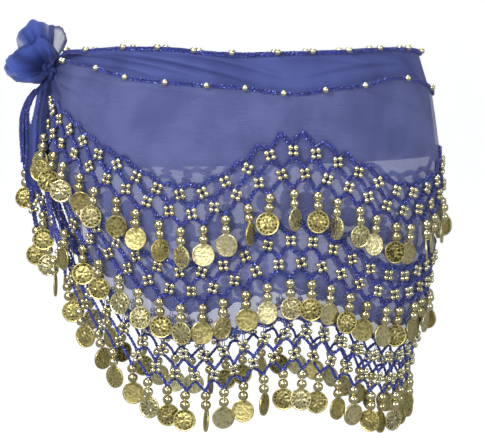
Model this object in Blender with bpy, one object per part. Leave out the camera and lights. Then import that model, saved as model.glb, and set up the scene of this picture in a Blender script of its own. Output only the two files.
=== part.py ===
"""Belly dance hip scarf, worn as a hollow ring and knotted at one hip.

Metres, +Z up. The front faces -Y and the knot is at the -X side. The origin is the middle of
the ring at the height of the upper rim, where the wearer holds the scarf.
"""

import math

import bmesh
import bpy
import numpy as np
from mathutils import Matrix, Vector

CM = 0.01

# Plan of the ring: half its width at each height (cm), and its depth over its width
RING_HEIGHTS = (-34.0, -32.0, -27.0, -24.0, -21.0, -16.0, -11.5, -8.0, -3.0, 0.0, 1.0)
RING_HALF_WIDTHS = (14.0, 14.1, 14.6, 15.3, 16.05, 16.75, 17.2, 17.0, 16.3, 15.4, 15.2)
RING_DEPTH_RATIO = 0.68
WIDEST_HALF_WIDTH = 17.2

# Way round from the knot to the far hip (cm, along the widest ring), and the heights (cm) there of
# the two rims, the rows of upper flowers of the three bands, and the hem. The last column says how
# far the nets open: 0 in the valleys, 1 at the peaks
LINE_NAMES = ("way", "inner_rim", "outer_rim", "band_1", "band_2", "hem", "band_3", "spread")
LINES = np.array((
    (0.6, 0.0, -0.7, -4.3, -8.6, -4.6, -10.4, 0.2),
    (4.7, 0.0, -0.9, -5.9, -11.2, -11.4, -16.5, 0.2),
    (7.5, 0.1, -1.15, -7.1, -13.2, -16.0, -20.0, 0.15),
    (10.5, 0.25, -1.75, -8.8, -15.1, -20.6, -22.5, 0.1),
    (12.6, 0.25, -2.2, -9.7, -16.5, -22.4, -23.9, 0.05),
    (14.6, 0.25, -2.4, -10.8, -17.5, -23.5, -24.7, 0.0),
    (16.6, 0.15, -2.55, -11.6, -18.15, -24.15, -25.15, 0.0),
    (18.6, -0.05, -2.7, -11.85, -18.3, -24.2, -25.3, 0.05),
    (22.9, -0.25, -2.95, -9.85, -16.95, -23.2, -24.4, 0.35),
    (25.0, -0.2, -3.25, -8.6, -15.95, -22.6, -23.7, 0.85),
    (27.4, -0.15, -3.45, -8.2, -15.6, -22.3, -23.35, 1.0),
    (31.0, -0.05, -3.0, -9.3, -16.6, -22.9, -23.95, 0.55),
    (34.0, 0.05, -2.75, -10.75, -18.1, -23.8, -25.0, 0.2),
    (37.0, 0.2, -2.2, -11.9, -19.0, -24.5, -25.9, 0.0),
    (41.0, 0.2, -2.5, -11.5, -18.6, -24.5, -26.0, 0.2),
    (45.8, -0.15, -3.6, -9.7, -17.9, -23.8, -25.1, 0.9),
))
SASH_FOLD_HEIGHT = -9.35
SCARF_END = 0.35         # way of the gathered end at the knot
BEFORE_TABLE = -0.3      # the lines run on this share of a step before the table's first row
SEAM_GAP = 0.03          # half the gap (cm) between front and back pieces, at their outer faces
JOIN_GAP = 0.015         # half the gap between a net and the chain below it

# Soft flutes of the lower cloth (cm)
FLUTE_COUNT = 8
FLUTE_DEPTH = 0.15
FLUTE_TOP, FLUTE_FULL = -12.0, -22.0

# Walls and layers, distances out from the face of the outer cloth (cm)
CLOTH_THICKNESS = 0.1
SASH_OUT, SASH_THICKNESS = -0.19, 0.16
RIM_OUT, RIM_THICKNESS, RIM_HEIGHT = 0.05, 0.14, 0.3
NET_OUT, NET_THICKNESS = 0.075, 0.12
NET_LIFT = 0.16          # how far band 2, and every drop, rises near the knot
CROWDED_WAY, CROWDED_FADE = 11.5, 2.0
PANEL_COLUMNS, CLOTH_ROWS, SASH_ROWS = 26, 7, 2

# Net bands: heights over the row of upper flowers (cm), where a net is half open
CELL_PITCH = 1.926
SLOPE_WEIGHT = 0.36      # how much the cells close up where a band runs steeply
SLOPE_REACH = 0.2
BRAID_HALF = 0.15
FLOWER_HALF = 0.3
CHAIN_A_HIGH, CHAIN_A_LOW = (0.75, 1.5), 0.5     # the high points rise from a closed to an open net
OPENING_SCALE = (0.88, 1.06)                     # and what lies below the flowers is stretched
CHAIN_B_HIGH, CHAIN_B_LOW = -0.45, -1.25
LOWER_FLOWERS = -1.75
CHAIN_C_HIGH, CHAIN_C_LOW = -2.2, -3.0
HEM_LAP, HEM_CHAIN_DIP = 0.3, 0.45  # how far the free band's top chain laps over the hem, and dips

# A drop: two beads and a coin, below the lowest chain (cm)
DROP_ROOT_HALF = 0.1
BEADS_MIDDLE, BEADS_WIDTH = -0.74, 0.6
COIN_MIDDLE, COIN_RADIUS, COIN_THICKNESS, COIN_NECK = -2.48, 0.95, 0.12, 0.5
DROP_OUT = (0.38, 0.72)  # near and far hanging depth, taken in turn
FREE_DROP_OUT = (0.1, 0.45)
COIN_TURNS = (4.0, -5.0, 2.0, -3.0, 5.0, 0.0, -4.0)
FREE_COIN_TURNS = (8.0, -20.0, 62.0, -12.0, 16.0, -70.0, 5.0, 24.0, -9.0)

# The bands: name, line of the table, first way (cm), lift near the knot, and the hanging depths
# and turns of the coins
BANDS = (
    ("1", "band_1", 0.9, 0.0, DROP_OUT, COIN_TURNS),
    ("2", "band_2", 5.4, NET_LIFT, DROP_OUT, COIN_TURNS),
    ("3", "band_3", 2.0, 0.0, FREE_DROP_OUT, FREE_COIN_TURNS),
)

# Knot, bow and tails (cm)
KNOT_MIDDLE, KNOT_RADII = (-16.82, -0.1, -1.8), (0.85, 1.3, 0.85)
BOW_THICKNESS = 0.12
BOW_ROOT = 0.94          # the loops start this far from the middle of the knot
# Each loop: name, depth of its front and back, pleats, and its reach (cm) at angles from +X
BOW_LOOPS = (
    ("bow_rosette", -1.5, 1.2, 2.5, ((95, 4.4), (111, 4.65), (123, 4.25), (135, 3.95), (149, 3.45),
                                     (162, 3.85), (181, 3.9), (197, 3.0))),
    ("bow_small_loop", -0.5, 0.9, 1.0, ((61, 2.8), (71, 3.85), (80, 4.05), (91, 3.95))),
)
LOOP_STEPS = 8
LOOP_MOUTH, LOOP_PLEAT = 0.25, 0.22
# Each tail: name, wall, and its sections: height, middle in x, half width, middle in y
TAILS = (
    ("tail_front", 0.14, ((-2.68, -16.95, 0.35, 0.0), (-3.6, -17.65, 0.65, 0.0),
                          (-5.5, -18.05, 0.82, 0.0), (-7.3, -18.15, 0.8, 0.0),
                          (-8.3, -18.4, 0.6, 0.0), (-11.0, -18.5, 0.5, 0.0),
                          (-12.0, -18.4, 0.35, 0.0))),
    ("tail_back", 0.1, ((-2.62, -17.0, 0.25, 0.42), (-3.8, -18.5, 0.3, 0.42),
                        (-5.5, -19.15, 0.3, 0.42), (-8.0, -19.3, 0.28, 0.42),
                        (-9.8, -19.2, 0.2, 0.42))),
)
TAIL_PLEAT = 0.12
# Under each tail: name, height and depth of its strip, and its strands from left to right, each its
# place on the strip, the middle of its coin (x, y, z) and how far its cord sways from a straight line
TAIL_FRINGES = (
    ("tail_coins_front", -12.04, 0.0, ((-18.6, (-18.15, 0.12, -17.9), -0.1),
                                       (-18.38, (-17.5, -0.62, -16.5), 0.1),
                                       (-18.16, (-17.1, -0.25, -18.8), 0.3))),
    ("tail_coins_back", -9.84, 0.42, ((-19.2, (-19.1, 0.42, -12.9), 0.0),)),
)
STRIP_HEIGHT, STRIP_DEPTH, STRIP_END = 0.18, 0.14, 0.14
CORD_HALF = 0.06
CORD_STEPS = (0.35, 0.7, 1.0)

# Materials: name, colour, roughness, metallic
CHIFFON = ("chiffon", (0.10, 0.13, 0.40, 1.0), 0.7, 0.0)
SASH_CLOTH = ("doubled_chiffon", (0.11, 0.13, 0.36, 1.0), 0.75, 0.0)
BRAID = ("glitter_braid", (0.03, 0.04, 0.42, 1.0), 0.45, 0.1)
COIN_METAL = ("coin_metal", (0.62, 0.52, 0.25, 1.0), 0.35, 0.9)


def clear_scene() -> None:
    for item in list(bpy.data.objects):
        bpy.data.objects.remove(item, do_unlink=True)


def material(finish: tuple) -> bpy.types.Material:
    name, colour, roughness, metallic = finish
    found = bpy.data.materials.get(name)
    if found:
        return found
    made = bpy.data.materials.new(name)
    made.use_nodes = True
    shader = made.node_tree.nodes["Principled BSDF"]
    shader.inputs["Base Color"].default_value = colour
    shader.inputs["Roughness"].default_value = roughness
    shader.inputs["Metallic"].default_value = metallic
    return made


def smooth_step(value: float) -> float:
    value = min(max(value, 0.0), 1.0)
    return value * value * (3.0 - 2.0 * value)


def way_table() -> tuple:
    """Angles round the widest ring from the knot, and the way along it (cm) at each."""
    angles = np.linspace(0.0, 2.0 * math.pi, 1441)
    speed = WIDEST_HALF_WIDTH * np.hypot(np.sin(angles), RING_DEPTH_RATIO * np.cos(angles))
    steps = (speed[1:] + speed[:-1]) / 2.0 * np.diff(angles)
    return angles, np.concatenate(([0.0], np.cumsum(steps)))


ANGLES, WAYS = way_table()
ROUND = float(WAYS[-1])
FAR_HIP = ROUND / 2.0


def line_slopes() -> np.ndarray:
    """Slope of each line at each row of the table, level at the far hip."""
    ways, heights = LINES[:, 0], LINES[:, 1:]
    slopes = np.gradient(heights, ways, axis=0)
    slopes[-1] = 0.0
    return slopes


LINE_SLOPES = line_slopes()


def line_height(name: str, way: float) -> float:
    """Height (cm) of a line at a way round, the back mirroring the front."""
    way = min(way, ROUND - way)
    column = LINE_NAMES.index(name)
    row = int(np.clip(np.searchsorted(LINES[:, 0], way) - 1, 0, len(LINES) - 2))
    start, end = LINES[row], LINES[row + 1]
    span = end[0] - start[0]
    t = min(max((way - start[0]) / span, BEFORE_TABLE), 1.0)
    first, last = LINE_SLOPES[row][column - 1] * span, LINE_SLOPES[row + 1][column - 1] * span
    return float(
        start[column] * (2 * t**3 - 3 * t**2 + 1) + first * (t**3 - 2 * t**2 + t)
        + end[column] * (3 * t**2 - 2 * t**3) + last * (t**3 - t**2)
    )


def ring_frame(way: float, height: float) -> tuple:
    """Point of the outer cloth's face (cm), its outward direction and its way round."""
    angle = float(np.interp(way, WAYS, ANGLES))
    half_width = float(np.interp(height, RING_HEIGHTS, RING_HALF_WIDTHS))
    half_depth = half_width * RING_DEPTH_RATIO
    outward = Vector((-half_depth * math.cos(angle), -half_width * math.sin(angle), 0.0)).normalized()
    along = Vector((-outward.y, outward.x, 0.0))
    fade = smooth_step((FLUTE_TOP - height) / (FLUTE_TOP - FLUTE_FULL))
    flute = FLUTE_DEPTH * fade * math.sin(FLUTE_COUNT * 2.0 * math.pi * way / ROUND)
    point = Vector((-half_width * math.cos(angle), -half_depth * math.sin(angle), height))
    return point + outward * flute, outward, along


def on_ring(way: float, height: float, out: float = 0.0) -> Vector:
    point, outward, _ = ring_frame(way, height)
    return (point + outward * out) * CM


def add_object(name: str, mesh: bmesh.types.BMesh, finish: tuple) -> bpy.types.Object:
    data = bpy.data.meshes.new(name)
    mesh.to_mesh(data)
    mesh.free()
    made = bpy.data.objects.new(name, data)
    bpy.context.scene.collection.objects.link(made)
    data.materials.append(material(finish))
    data.shade_smooth()
    data.set_sharp_from_angle(angle=math.radians(40.0))
    return made


def thicken(target: bpy.types.Object, thickness: float, side: float) -> None:
    """Gives a surface its wall: side 1 builds outwards, -1 inwards."""
    solidify = target.modifiers.new("wall", "SOLIDIFY")
    solidify.thickness = thickness
    solidify.offset = side
    solidify.use_even_offset = False


def side_ways(back: bool, first: float, last: float, count: int) -> list:
    """Ways of the columns of a front piece, or of the back piece that mirrors it."""
    front = [first + (last - first) * i / count for i in range(count + 1)]
    return [ROUND - way for way in reversed(front)] if back else front


def add_panel(name: str, back: bool, top: str, bottom, out: float, rows: int,
              finish: tuple) -> bpy.types.Object:
    """A wall between two lines of the ring; a number as its bottom is a level edge."""
    mesh = bmesh.new()
    grid = []
    for way in side_ways(back, SCARF_END, FAR_HIP - SEAM_GAP, PANEL_COLUMNS):
        high = line_height(top, way)
        low = bottom if isinstance(bottom, float) else line_height(bottom, way)
        grid.append([
            mesh.verts.new(on_ring(way, high + (low - high) * row / rows, out))
            for row in range(rows + 1)
        ])
    for left, right in zip(grid, grid[1:]):
        for row in range(rows):
            mesh.faces.new((left[row], left[row + 1], right[row + 1], right[row]))
    return add_object(name, mesh, finish)


def add_rim(name: str, back: bool, line: str, out: float) -> bpy.types.Object:
    """The crocheted edging, a narrow strip along a rim."""
    mesh = bmesh.new()
    pairs = []
    for way in side_ways(back, SCARF_END, FAR_HIP - SEAM_GAP, PANEL_COLUMNS):
        height = line_height(line, way)
        pairs.append((mesh.verts.new(on_ring(way, height, out)),
                      mesh.verts.new(on_ring(way, height - RIM_HEIGHT, out))))
    for left, right in zip(pairs, pairs[1:]):
        mesh.faces.new((left[0], left[1], right[1], right[0]))
    strip = add_object(name, mesh, BRAID)
    thicken(strip, RIM_THICKNESS * CM, 1.0)
    return strip


def cell_ways(line: str, first: float) -> list:
    """Ways of a band's half cells from the far hip back to its first way; even ones have flowers."""
    ways = [FAR_HIP]
    while ways[-1] > first:
        here = ways[-1]
        rise = line_height(line, here + SLOPE_REACH) - line_height(line, here - SLOPE_REACH)
        slope = rise / (2.0 * SLOPE_REACH)
        ways.append(here - CELL_PITCH / 2.0 / math.sqrt(1.0 + SLOPE_WEIGHT * slope * slope))
    del ways[-1 if len(ways) % 2 == 0 else -2:]
    return ways


class BandSide:
    """The front or back half of a net band: where its half cells stand on the ring."""

    def __init__(self, back: bool, line: str, first: float, lift: float) -> None:
        self.back = back
        self.line = line
        self.lift = lift
        self.ways = cell_ways(line, first)

    def way(self, index: int) -> float:
        front = self.ways[index] - (SEAM_GAP if index == 0 else 0.0)
        return ROUND - front if self.back else front

    def height(self, index: int, rise: float) -> float:
        """Height (cm) of what hangs below the upper flowers, stretched as far as the net opens."""
        way = self.way(index)
        closed, opened = OPENING_SCALE
        spread = 1.0 if self.line == "band_3" else line_height("spread", way)
        return line_height(self.line, way) + rise * (closed + (opened - closed) * spread)

    def point(self, index: int, rise: float, aside: float = 0.0, out: float = NET_OUT) -> Vector:
        """A point of half cell index, rise (cm) over the upper flowers, aside towards the knot."""
        way = self.way(index)
        height = self.height(index, rise) if rise < 0.0 else line_height(self.line, way) + rise
        shift = aside if self.back else -aside
        return on_ring(way + shift, height, out + self.lift * self.near_knot(index))

    def near_knot(self, index: int) -> float:
        """0 round most of the ring, rising to 1 where the bands crowd together at the knot."""
        return smooth_step((CROWDED_WAY - self.ways[index]) / CROWDED_FADE)

    def top_rise(self, index: int) -> float:
        """Height of the top chain over the upper flowers; the free band's runs along the hem."""
        way = self.way(index)
        if self.line == "band_3":
            over_hem = line_height("hem", way) - line_height(self.line, way) + HEM_LAP
            return over_hem - (HEM_CHAIN_DIP if index % 2 == 0 else 0.0)
        closed, opened = CHAIN_A_HIGH
        return CHAIN_A_LOW if index % 2 == 0 else closed + (opened - closed) * line_height("spread", way)


def add_net(name: str, side: BandSide) -> bpy.types.Object:
    """Two zigzag chains joined at the upper flowers, with a cut cell between each pair of them."""
    mesh = bmesh.new()
    count = len(side.ways)
    top, bottom, cells = [], [], {}
    for i in range(count):
        flower = i % 2 == 0
        low = CHAIN_B_HIGH - BRAID_HALF if flower else LOWER_FLOWERS + JOIN_GAP
        top.append(mesh.verts.new(side.point(i, side.top_rise(i) + BRAID_HALF)))
        bottom.append(mesh.verts.new(side.point(i, low)))
        if not flower:
            cells[i] = (
                mesh.verts.new(side.point(i, side.top_rise(i) - BRAID_HALF)),
                mesh.verts.new(side.point(i - 1, 0.0, FLOWER_HALF)),
                mesh.verts.new(side.point(i, CHAIN_B_LOW + BRAID_HALF)),
                mesh.verts.new(side.point(i + 1, 0.0, -FLOWER_HALF)),
            )
    for i, (high, far, low, near) in cells.items():
        strips = (
            (top[i - 1], top[i], high, far), (top[i], top[i + 1], near, high),
            (far, low, bottom[i], bottom[i - 1]), (low, near, bottom[i + 1], bottom[i]),
        )
        for strip in strips:
            mesh.faces.new(strip if not side.back else tuple(reversed(strip)))
    for i in range(0, count, 2):
        corners = [top[i]]
        if i + 1 in cells:
            corners.append(cells[i + 1][1])
        corners.append(bottom[i])
        if i - 1 in cells:
            corners.append(cells[i - 1][3])
        mesh.faces.new(corners if not side.back else list(reversed(corners)))
    return add_object(name, mesh, BRAID)


def drop_sections(place, turn: float) -> list:
    """Sections of one drop from its beads to the foot of its coin, each four corners.

    place gives the middle, outward direction and way round (cm) at a height below the chain.
    """
    shape = (
        (BEADS_MIDDLE, BEADS_WIDTH, BEADS_WIDTH, 0.0),
        (COIN_MIDDLE + COIN_RADIUS, COIN_NECK, COIN_THICKNESS, turn),
        (COIN_MIDDLE, 2.0 * COIN_RADIUS, COIN_THICKNESS, turn),
        (COIN_MIDDLE - COIN_RADIUS, COIN_NECK, COIN_THICKNESS, turn),
    )
    sections = []
    for drop, width, depth, angle in shape:
        middle, outward, along = place(drop)
        spin = Matrix.Rotation(math.radians(angle), 3, "Z")
        across, away = spin @ along * (width / 2.0), spin @ outward * (depth / 2.0)
        sections.append([
            (middle - across + away) * CM, (middle + across + away) * CM,
            (middle + across - away) * CM, (middle - across - away) * CM,
        ])
    return sections


def carry_down(mesh: bmesh.types.BMesh, root: list, sections: list) -> None:
    """Runs a drop from an open square through its sections and closes its foot."""
    upper = root
    for section in sections:
        lower = [mesh.verts.new(corner) for corner in section]
        for corner in range(4):
            following = (corner + 1) % 4
            mesh.faces.new((upper[corner], upper[following], lower[following], lower[corner]))
        upper = lower
    mesh.faces.new(upper)


def build_strip(mesh: bmesh.types.BMesh, rings: list) -> dict:
    """Joins rings of four corners into a strip; two rings of one key leave an open square below.

    Returns each key's open square.
    """
    roots = {}
    verts = [(key, [mesh.verts.new(corner) for corner in ring]) for key, ring in rings]
    for (key, near), (other, far) in zip(verts, verts[1:]):
        for corner in range(4):
            following = (corner + 1) % 4
            if key == other and corner == 1:
                roots[key] = [near[1], far[1], far[2], near[2]]
            else:
                mesh.faces.new((near[corner], near[following], far[following], far[corner]))
    mesh.faces.new(verts[0][1])
    mesh.faces.new(list(reversed(verts[-1][1])))
    return roots


def add_drops(name: str, side: BandSide, depths: tuple, turns: tuple) -> bpy.types.Object:
    """The lowest chain as a narrow strip, with a drop fused to each of its low points."""
    rings = []
    low_levels = (CHAIN_C_LOW + BRAID_HALF, CHAIN_C_LOW - BRAID_HALF)
    for i in range(len(side.ways)):
        if i % 2:
            places = ((0.0, LOWER_FLOWERS - JOIN_GAP, CHAIN_C_HIGH - BRAID_HALF),)
        elif i == 0:
            places = ((DROP_ROOT_HALF, *low_levels),)
        else:
            places = ((-DROP_ROOT_HALF, *low_levels), (DROP_ROOT_HALF, *low_levels))
        for aside, high, low in places:
            rings.append((i, [
                side.point(i, high, aside, NET_OUT + NET_THICKNESS),
                side.point(i, low, aside, NET_OUT + NET_THICKNESS),
                side.point(i, low, aside, NET_OUT),
                side.point(i, high, aside, NET_OUT),
            ]))
    mesh = bmesh.new()
    for i, root in build_strip(mesh, rings).items():
        if not side.back:
            root = [root[1], root[0], root[3], root[2]]
        hang_drop(mesh, side, i, root, depths[i // 2 % 2], turns[i // 2 % len(turns)])
    bmesh.ops.recalc_face_normals(mesh, faces=mesh.faces)
    return add_object(name, mesh, COIN_METAL)


def hang_drop(mesh, side: BandSide, index: int, root: list, depth: float, turn: float) -> None:
    """Hangs one drop of a band from an open square of its strip."""
    way = side.way(index)
    height = side.height(index, CHAIN_C_LOW)
    out = depth + NET_LIFT * side.near_knot(index)

    def place(drop: float) -> tuple:
        point, outward, along = ring_frame(way, height + drop)
        return point + outward * out, outward, along

    carry_down(mesh, root, drop_sections(place, turn))


def add_knot() -> bpy.types.Object:
    mesh = bmesh.new()
    bmesh.ops.create_icosphere(mesh, subdivisions=2, radius=1.0)
    bmesh.ops.scale(mesh, vec=Vector(KNOT_RADII) * CM, verts=mesh.verts)
    bmesh.ops.translate(mesh, vec=Vector(KNOT_MIDDLE) * CM, verts=mesh.verts)
    return add_object("knot", mesh, SASH_CLOTH)


def add_bow_loop(name: str, front: float, back: float, pleats: float, reaches: tuple):
    """A band that fans out from the knot, folds over at its reach and comes back behind."""
    mesh = bmesh.new()
    rows = []
    for step in range(LOOP_STEPS + 1):
        t = step / LOOP_STEPS
        bulge = front * math.sin(2.0 * math.pi * t) if t < 0.5 else -back * math.sin(2.0 * math.pi * t)
        row = []
        for column, (angle, reach) in enumerate(reaches):
            turn = math.radians(angle)
            radius = BOW_ROOT + (reach - BOW_ROOT) * math.sin(math.pi * t)
            pleat = LOOP_PLEAT * math.sin(math.pi * t) * math.cos(pleats * math.pi * column / len(reaches))
            row.append(mesh.verts.new(Vector((
                KNOT_MIDDLE[0] + radius * math.cos(turn),
                KNOT_MIDDLE[1] + bulge + pleat - LOOP_MOUTH * math.cos(math.pi * t),
                KNOT_MIDDLE[2] + radius * math.sin(turn),
            )) * CM))
        rows.append(row)
    for upper, lower in zip(rows, rows[1:]):
        for i in range(len(reaches) - 1):
            mesh.faces.new((upper[i], lower[i], lower[i + 1], upper[i + 1]))
    loop = add_object(name, mesh, CHIFFON)
    thicken(loop, BOW_THICKNESS * CM, 0.0)
    return loop


def add_tail(name: str, wall: float, sections: tuple) -> bpy.types.Object:
    """A hanging end with one pleat down its middle."""
    mesh = bmesh.new()
    rows = [
        [mesh.verts.new(Vector((middle + side * half, depth + TAIL_PLEAT * (abs(side) - 0.5), height)) * CM)
         for side in (-1.0, 0.0, 1.0)]
        for height, middle, half, depth in sections
    ]
    for upper, lower in zip(rows, rows[1:]):
        for i in range(2):
            mesh.faces.new((upper[i], lower[i], lower[i + 1], upper[i + 1]))
    tail = add_object(name, mesh, CHIFFON)
    thicken(tail, wall * CM, 0.0)
    return tail


def add_tail_fringe(name: str, height: float, depth: float, strands: tuple) -> bpy.types.Object:
    """A narrow strip under a tail, with cords that each end in a drop."""
    near, far = depth - STRIP_DEPTH / 2.0, depth + STRIP_DEPTH / 2.0
    low = height - STRIP_HEIGHT

    def ring(x: float) -> list:
        return [Vector((x, y, z)) * CM for y, z in ((near, height), (near, low), (far, low), (far, height))]

    rings = [("start", ring(strands[0][0] - STRIP_END))]
    for key, (x, _, _) in enumerate(strands):
        rings += [(key, ring(x - CORD_HALF)), (key, ring(x + CORD_HALF))]
    rings.append(("end", ring(strands[-1][0] + STRIP_END)))
    mesh = bmesh.new()
    for key, root in build_strip(mesh, rings).items():
        x, coin, sway = strands[key]
        carry_down(mesh, root, cord_sections(x, depth, low, Vector(coin), sway)
                   + tail_drop_sections(Vector(coin), COIN_TURNS[key]))
    bmesh.ops.recalc_face_normals(mesh, faces=mesh.faces)
    return add_object(name, mesh, COIN_METAL)


def cord_sections(x: float, depth: float, height: float, coin: Vector, sway: float) -> list:
    """Sections of a strand's cord, from its strip to the top of its beads."""
    top = Vector((x, depth, height))
    foot = coin - Vector((0.0, 0.0, COIN_MIDDLE + BEADS_WIDTH / 2.0))
    if (top - foot).z < 2.0 * BEADS_WIDTH:
        return []
    sections = []
    for t in CORD_STEPS:
        middle = top.lerp(foot, t) + Vector((sway * math.sin(math.pi * t), 0.0, 0.0))
        sections.append([
            (middle + Vector((a, b, 0.0))) * CM
            for a, b in ((-CORD_HALF, -CORD_HALF), (CORD_HALF, -CORD_HALF),
                         (CORD_HALF, CORD_HALF), (-CORD_HALF, CORD_HALF))
        ])
    return sections


def tail_drop_sections(coin: Vector, turn: float) -> list:
    """Sections of a tail's drop, whose coin faces the front."""
    def place(drop: float) -> tuple:
        middle = coin + Vector((0.0, 0.0, drop - COIN_MIDDLE))
        return middle, Vector((0.0, -1.0, 0.0)), Vector((1.0, 0.0, 0.0))

    return drop_sections(place, turn)


def main() -> None:
    clear_scene()
    for back in (False, True):
        half = "back" if back else "front"
        cloth = add_panel(f"cloth_{half}", back, "outer_rim", "hem", 0.0, CLOTH_ROWS, CHIFFON)
        thicken(cloth, CLOTH_THICKNESS * CM, -1.0)
        sash = add_panel(f"sash_{half}", back, "inner_rim", SASH_FOLD_HEIGHT, SASH_OUT, SASH_ROWS,
                         SASH_CLOTH)
        thicken(sash, SASH_THICKNESS * CM, -1.0)
        add_rim(f"outer_edging_{half}", back, "outer_rim", RIM_OUT)
        add_rim(f"inner_edging_{half}", back, "inner_rim", SASH_OUT + RIM_OUT)
        for number, line, first, lift, depths, turns in BANDS:
            side = BandSide(back, line, first, lift)
            net = add_net(f"net_{number}_{half}", side)
            thicken(net, NET_THICKNESS * CM, 1.0)
            add_drops(f"coins_{number}_{half}", side, depths, turns)
    add_knot()
    for name, front, back, pleats, reaches in BOW_LOOPS:
        add_bow_loop(name, front, back, pleats, reaches)
    for name, wall, sections in TAILS:
        add_tail(name, wall, sections)
    for name, height, depth, strands in TAIL_FRINGES:
        add_tail_fringe(name, height, depth, strands)


main()
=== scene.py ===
"""Looks of a belly dance hip scarf: sheer cloth, glitter crochet, bead flowers and coin drops.

The scarf is worn as a hollow ring, knotted in a bow at the -X side, with the front towards -Y.
Sizes are in centimetres, which CM turns into the frame's metres, and turns are in degrees.
"""

import logging
import math
from collections.abc import Callable
from dataclasses import dataclass, field, replace
from enum import Enum

import bpy
import numpy as np
from mathutils import Matrix, Vector


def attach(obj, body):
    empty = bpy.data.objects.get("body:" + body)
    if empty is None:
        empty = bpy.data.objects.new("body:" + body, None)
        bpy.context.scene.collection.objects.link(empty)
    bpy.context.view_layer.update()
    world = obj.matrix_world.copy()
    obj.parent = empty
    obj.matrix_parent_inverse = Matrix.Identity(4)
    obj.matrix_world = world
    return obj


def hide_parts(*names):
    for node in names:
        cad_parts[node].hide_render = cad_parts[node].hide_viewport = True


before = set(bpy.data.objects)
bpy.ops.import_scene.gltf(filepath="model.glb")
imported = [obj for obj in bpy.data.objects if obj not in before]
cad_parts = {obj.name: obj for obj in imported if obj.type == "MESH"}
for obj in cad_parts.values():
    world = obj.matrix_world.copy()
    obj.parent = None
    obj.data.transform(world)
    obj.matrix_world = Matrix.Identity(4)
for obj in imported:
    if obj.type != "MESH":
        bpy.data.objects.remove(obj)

CM = 0.01
KNOT_PLACE = (-16.82, -0.1, -1.8)
FORWARD = (0.0, -1.0, 0.0)
BODY = "root"
PHOTO_WIDTH, PHOTO_HEIGHT = 485, 448
LOG = logging.getLogger("hip_scarf")
Colour = tuple[float, float, float, float]


class Slot(Enum):
    """Names of material slots, handed to Bench.settle."""

    CHIFFON = "chiffon"
    DOUBLED = "doubled_chiffon"
    BRAID = "braid"
    METAL = "coin_metal"


class Half(Enum):
    """The two halves of the ring: the back mirrors the front."""

    FRONT = "front"
    BACK = "back"


class Line(Enum):
    """The lines that run round the ring, by their column in the table LINES."""

    FOLD = 0
    INNER_RIM = 1
    OUTER_RIM = 2
    BAND_1 = 3
    BAND_2 = 4
    HEM = 5
    BAND_3 = 6
    SPREAD = 7


class Chain(Enum):
    """A net's lower chains, by their height (cm) at the upper flowers and between them."""

    MIDDLE = (-0.45, -1.25)
    LOWEST = (-3.0, -2.2)


class Part(Enum):
    """What is picked in edit mode, by its place in the mesh data."""

    FACE = "polygons"
    VERT = "vertices"


class Signal:
    """A value in a material's nodes. Sums and products of signals add Math nodes."""

    def __init__(self, paint: "Paint", socket: bpy.types.NodeSocket) -> None:
        """Wraps one output socket.

        Args:
            paint: The material's paint box.
            socket: The output that carries the value.
        """
        self.paint = paint
        self.socket = socket

    def maths(self, operation: str, *values: object) -> "Signal":
        """Runs a Math node on values.

        Args:
            operation: The Math node's operation.
            values: Its inputs, signals or numbers.

        Returns:
            The node's result.
        """
        node = self.paint.node("ShaderNodeMath", {"operation": operation}, dict(enumerate(values)))
        return Signal(self.paint, node.outputs[0])

    def __add__(self, other: object) -> "Signal":
        """Returns self + other."""
        return self.maths("ADD", self, other)

    def __radd__(self, other: object) -> "Signal":
        """Returns other + self."""
        return self.maths("ADD", other, self)

    def __sub__(self, other: object) -> "Signal":
        """Returns self - other."""
        return self.maths("SUBTRACT", self, other)

    def __rsub__(self, other: object) -> "Signal":
        """Returns other - self."""
        return self.maths("SUBTRACT", other, self)

    def __mul__(self, other: object) -> "Signal":
        """Returns self * other."""
        return self.maths("MULTIPLY", self, other)

    def __rmul__(self, other: object) -> "Signal":
        """Returns other * self."""
        return self.maths("MULTIPLY", other, self)

    def above(self, low: float, high: float) -> "Signal":
        """Makes a soft step.

        Args:
            low: The value at which it leaves 0.
            high: The value at which it reaches 1.

        Returns:
            The step, from 0 to 1.
        """
        node = self.paint.node(
            "ShaderNodeMapRange",
            {"interpolation_type": "SMOOTHSTEP"},
            {"Value": self, "From Min": low, "From Max": high},
        )
        return Signal(self.paint, node.outputs["Result"])


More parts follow.
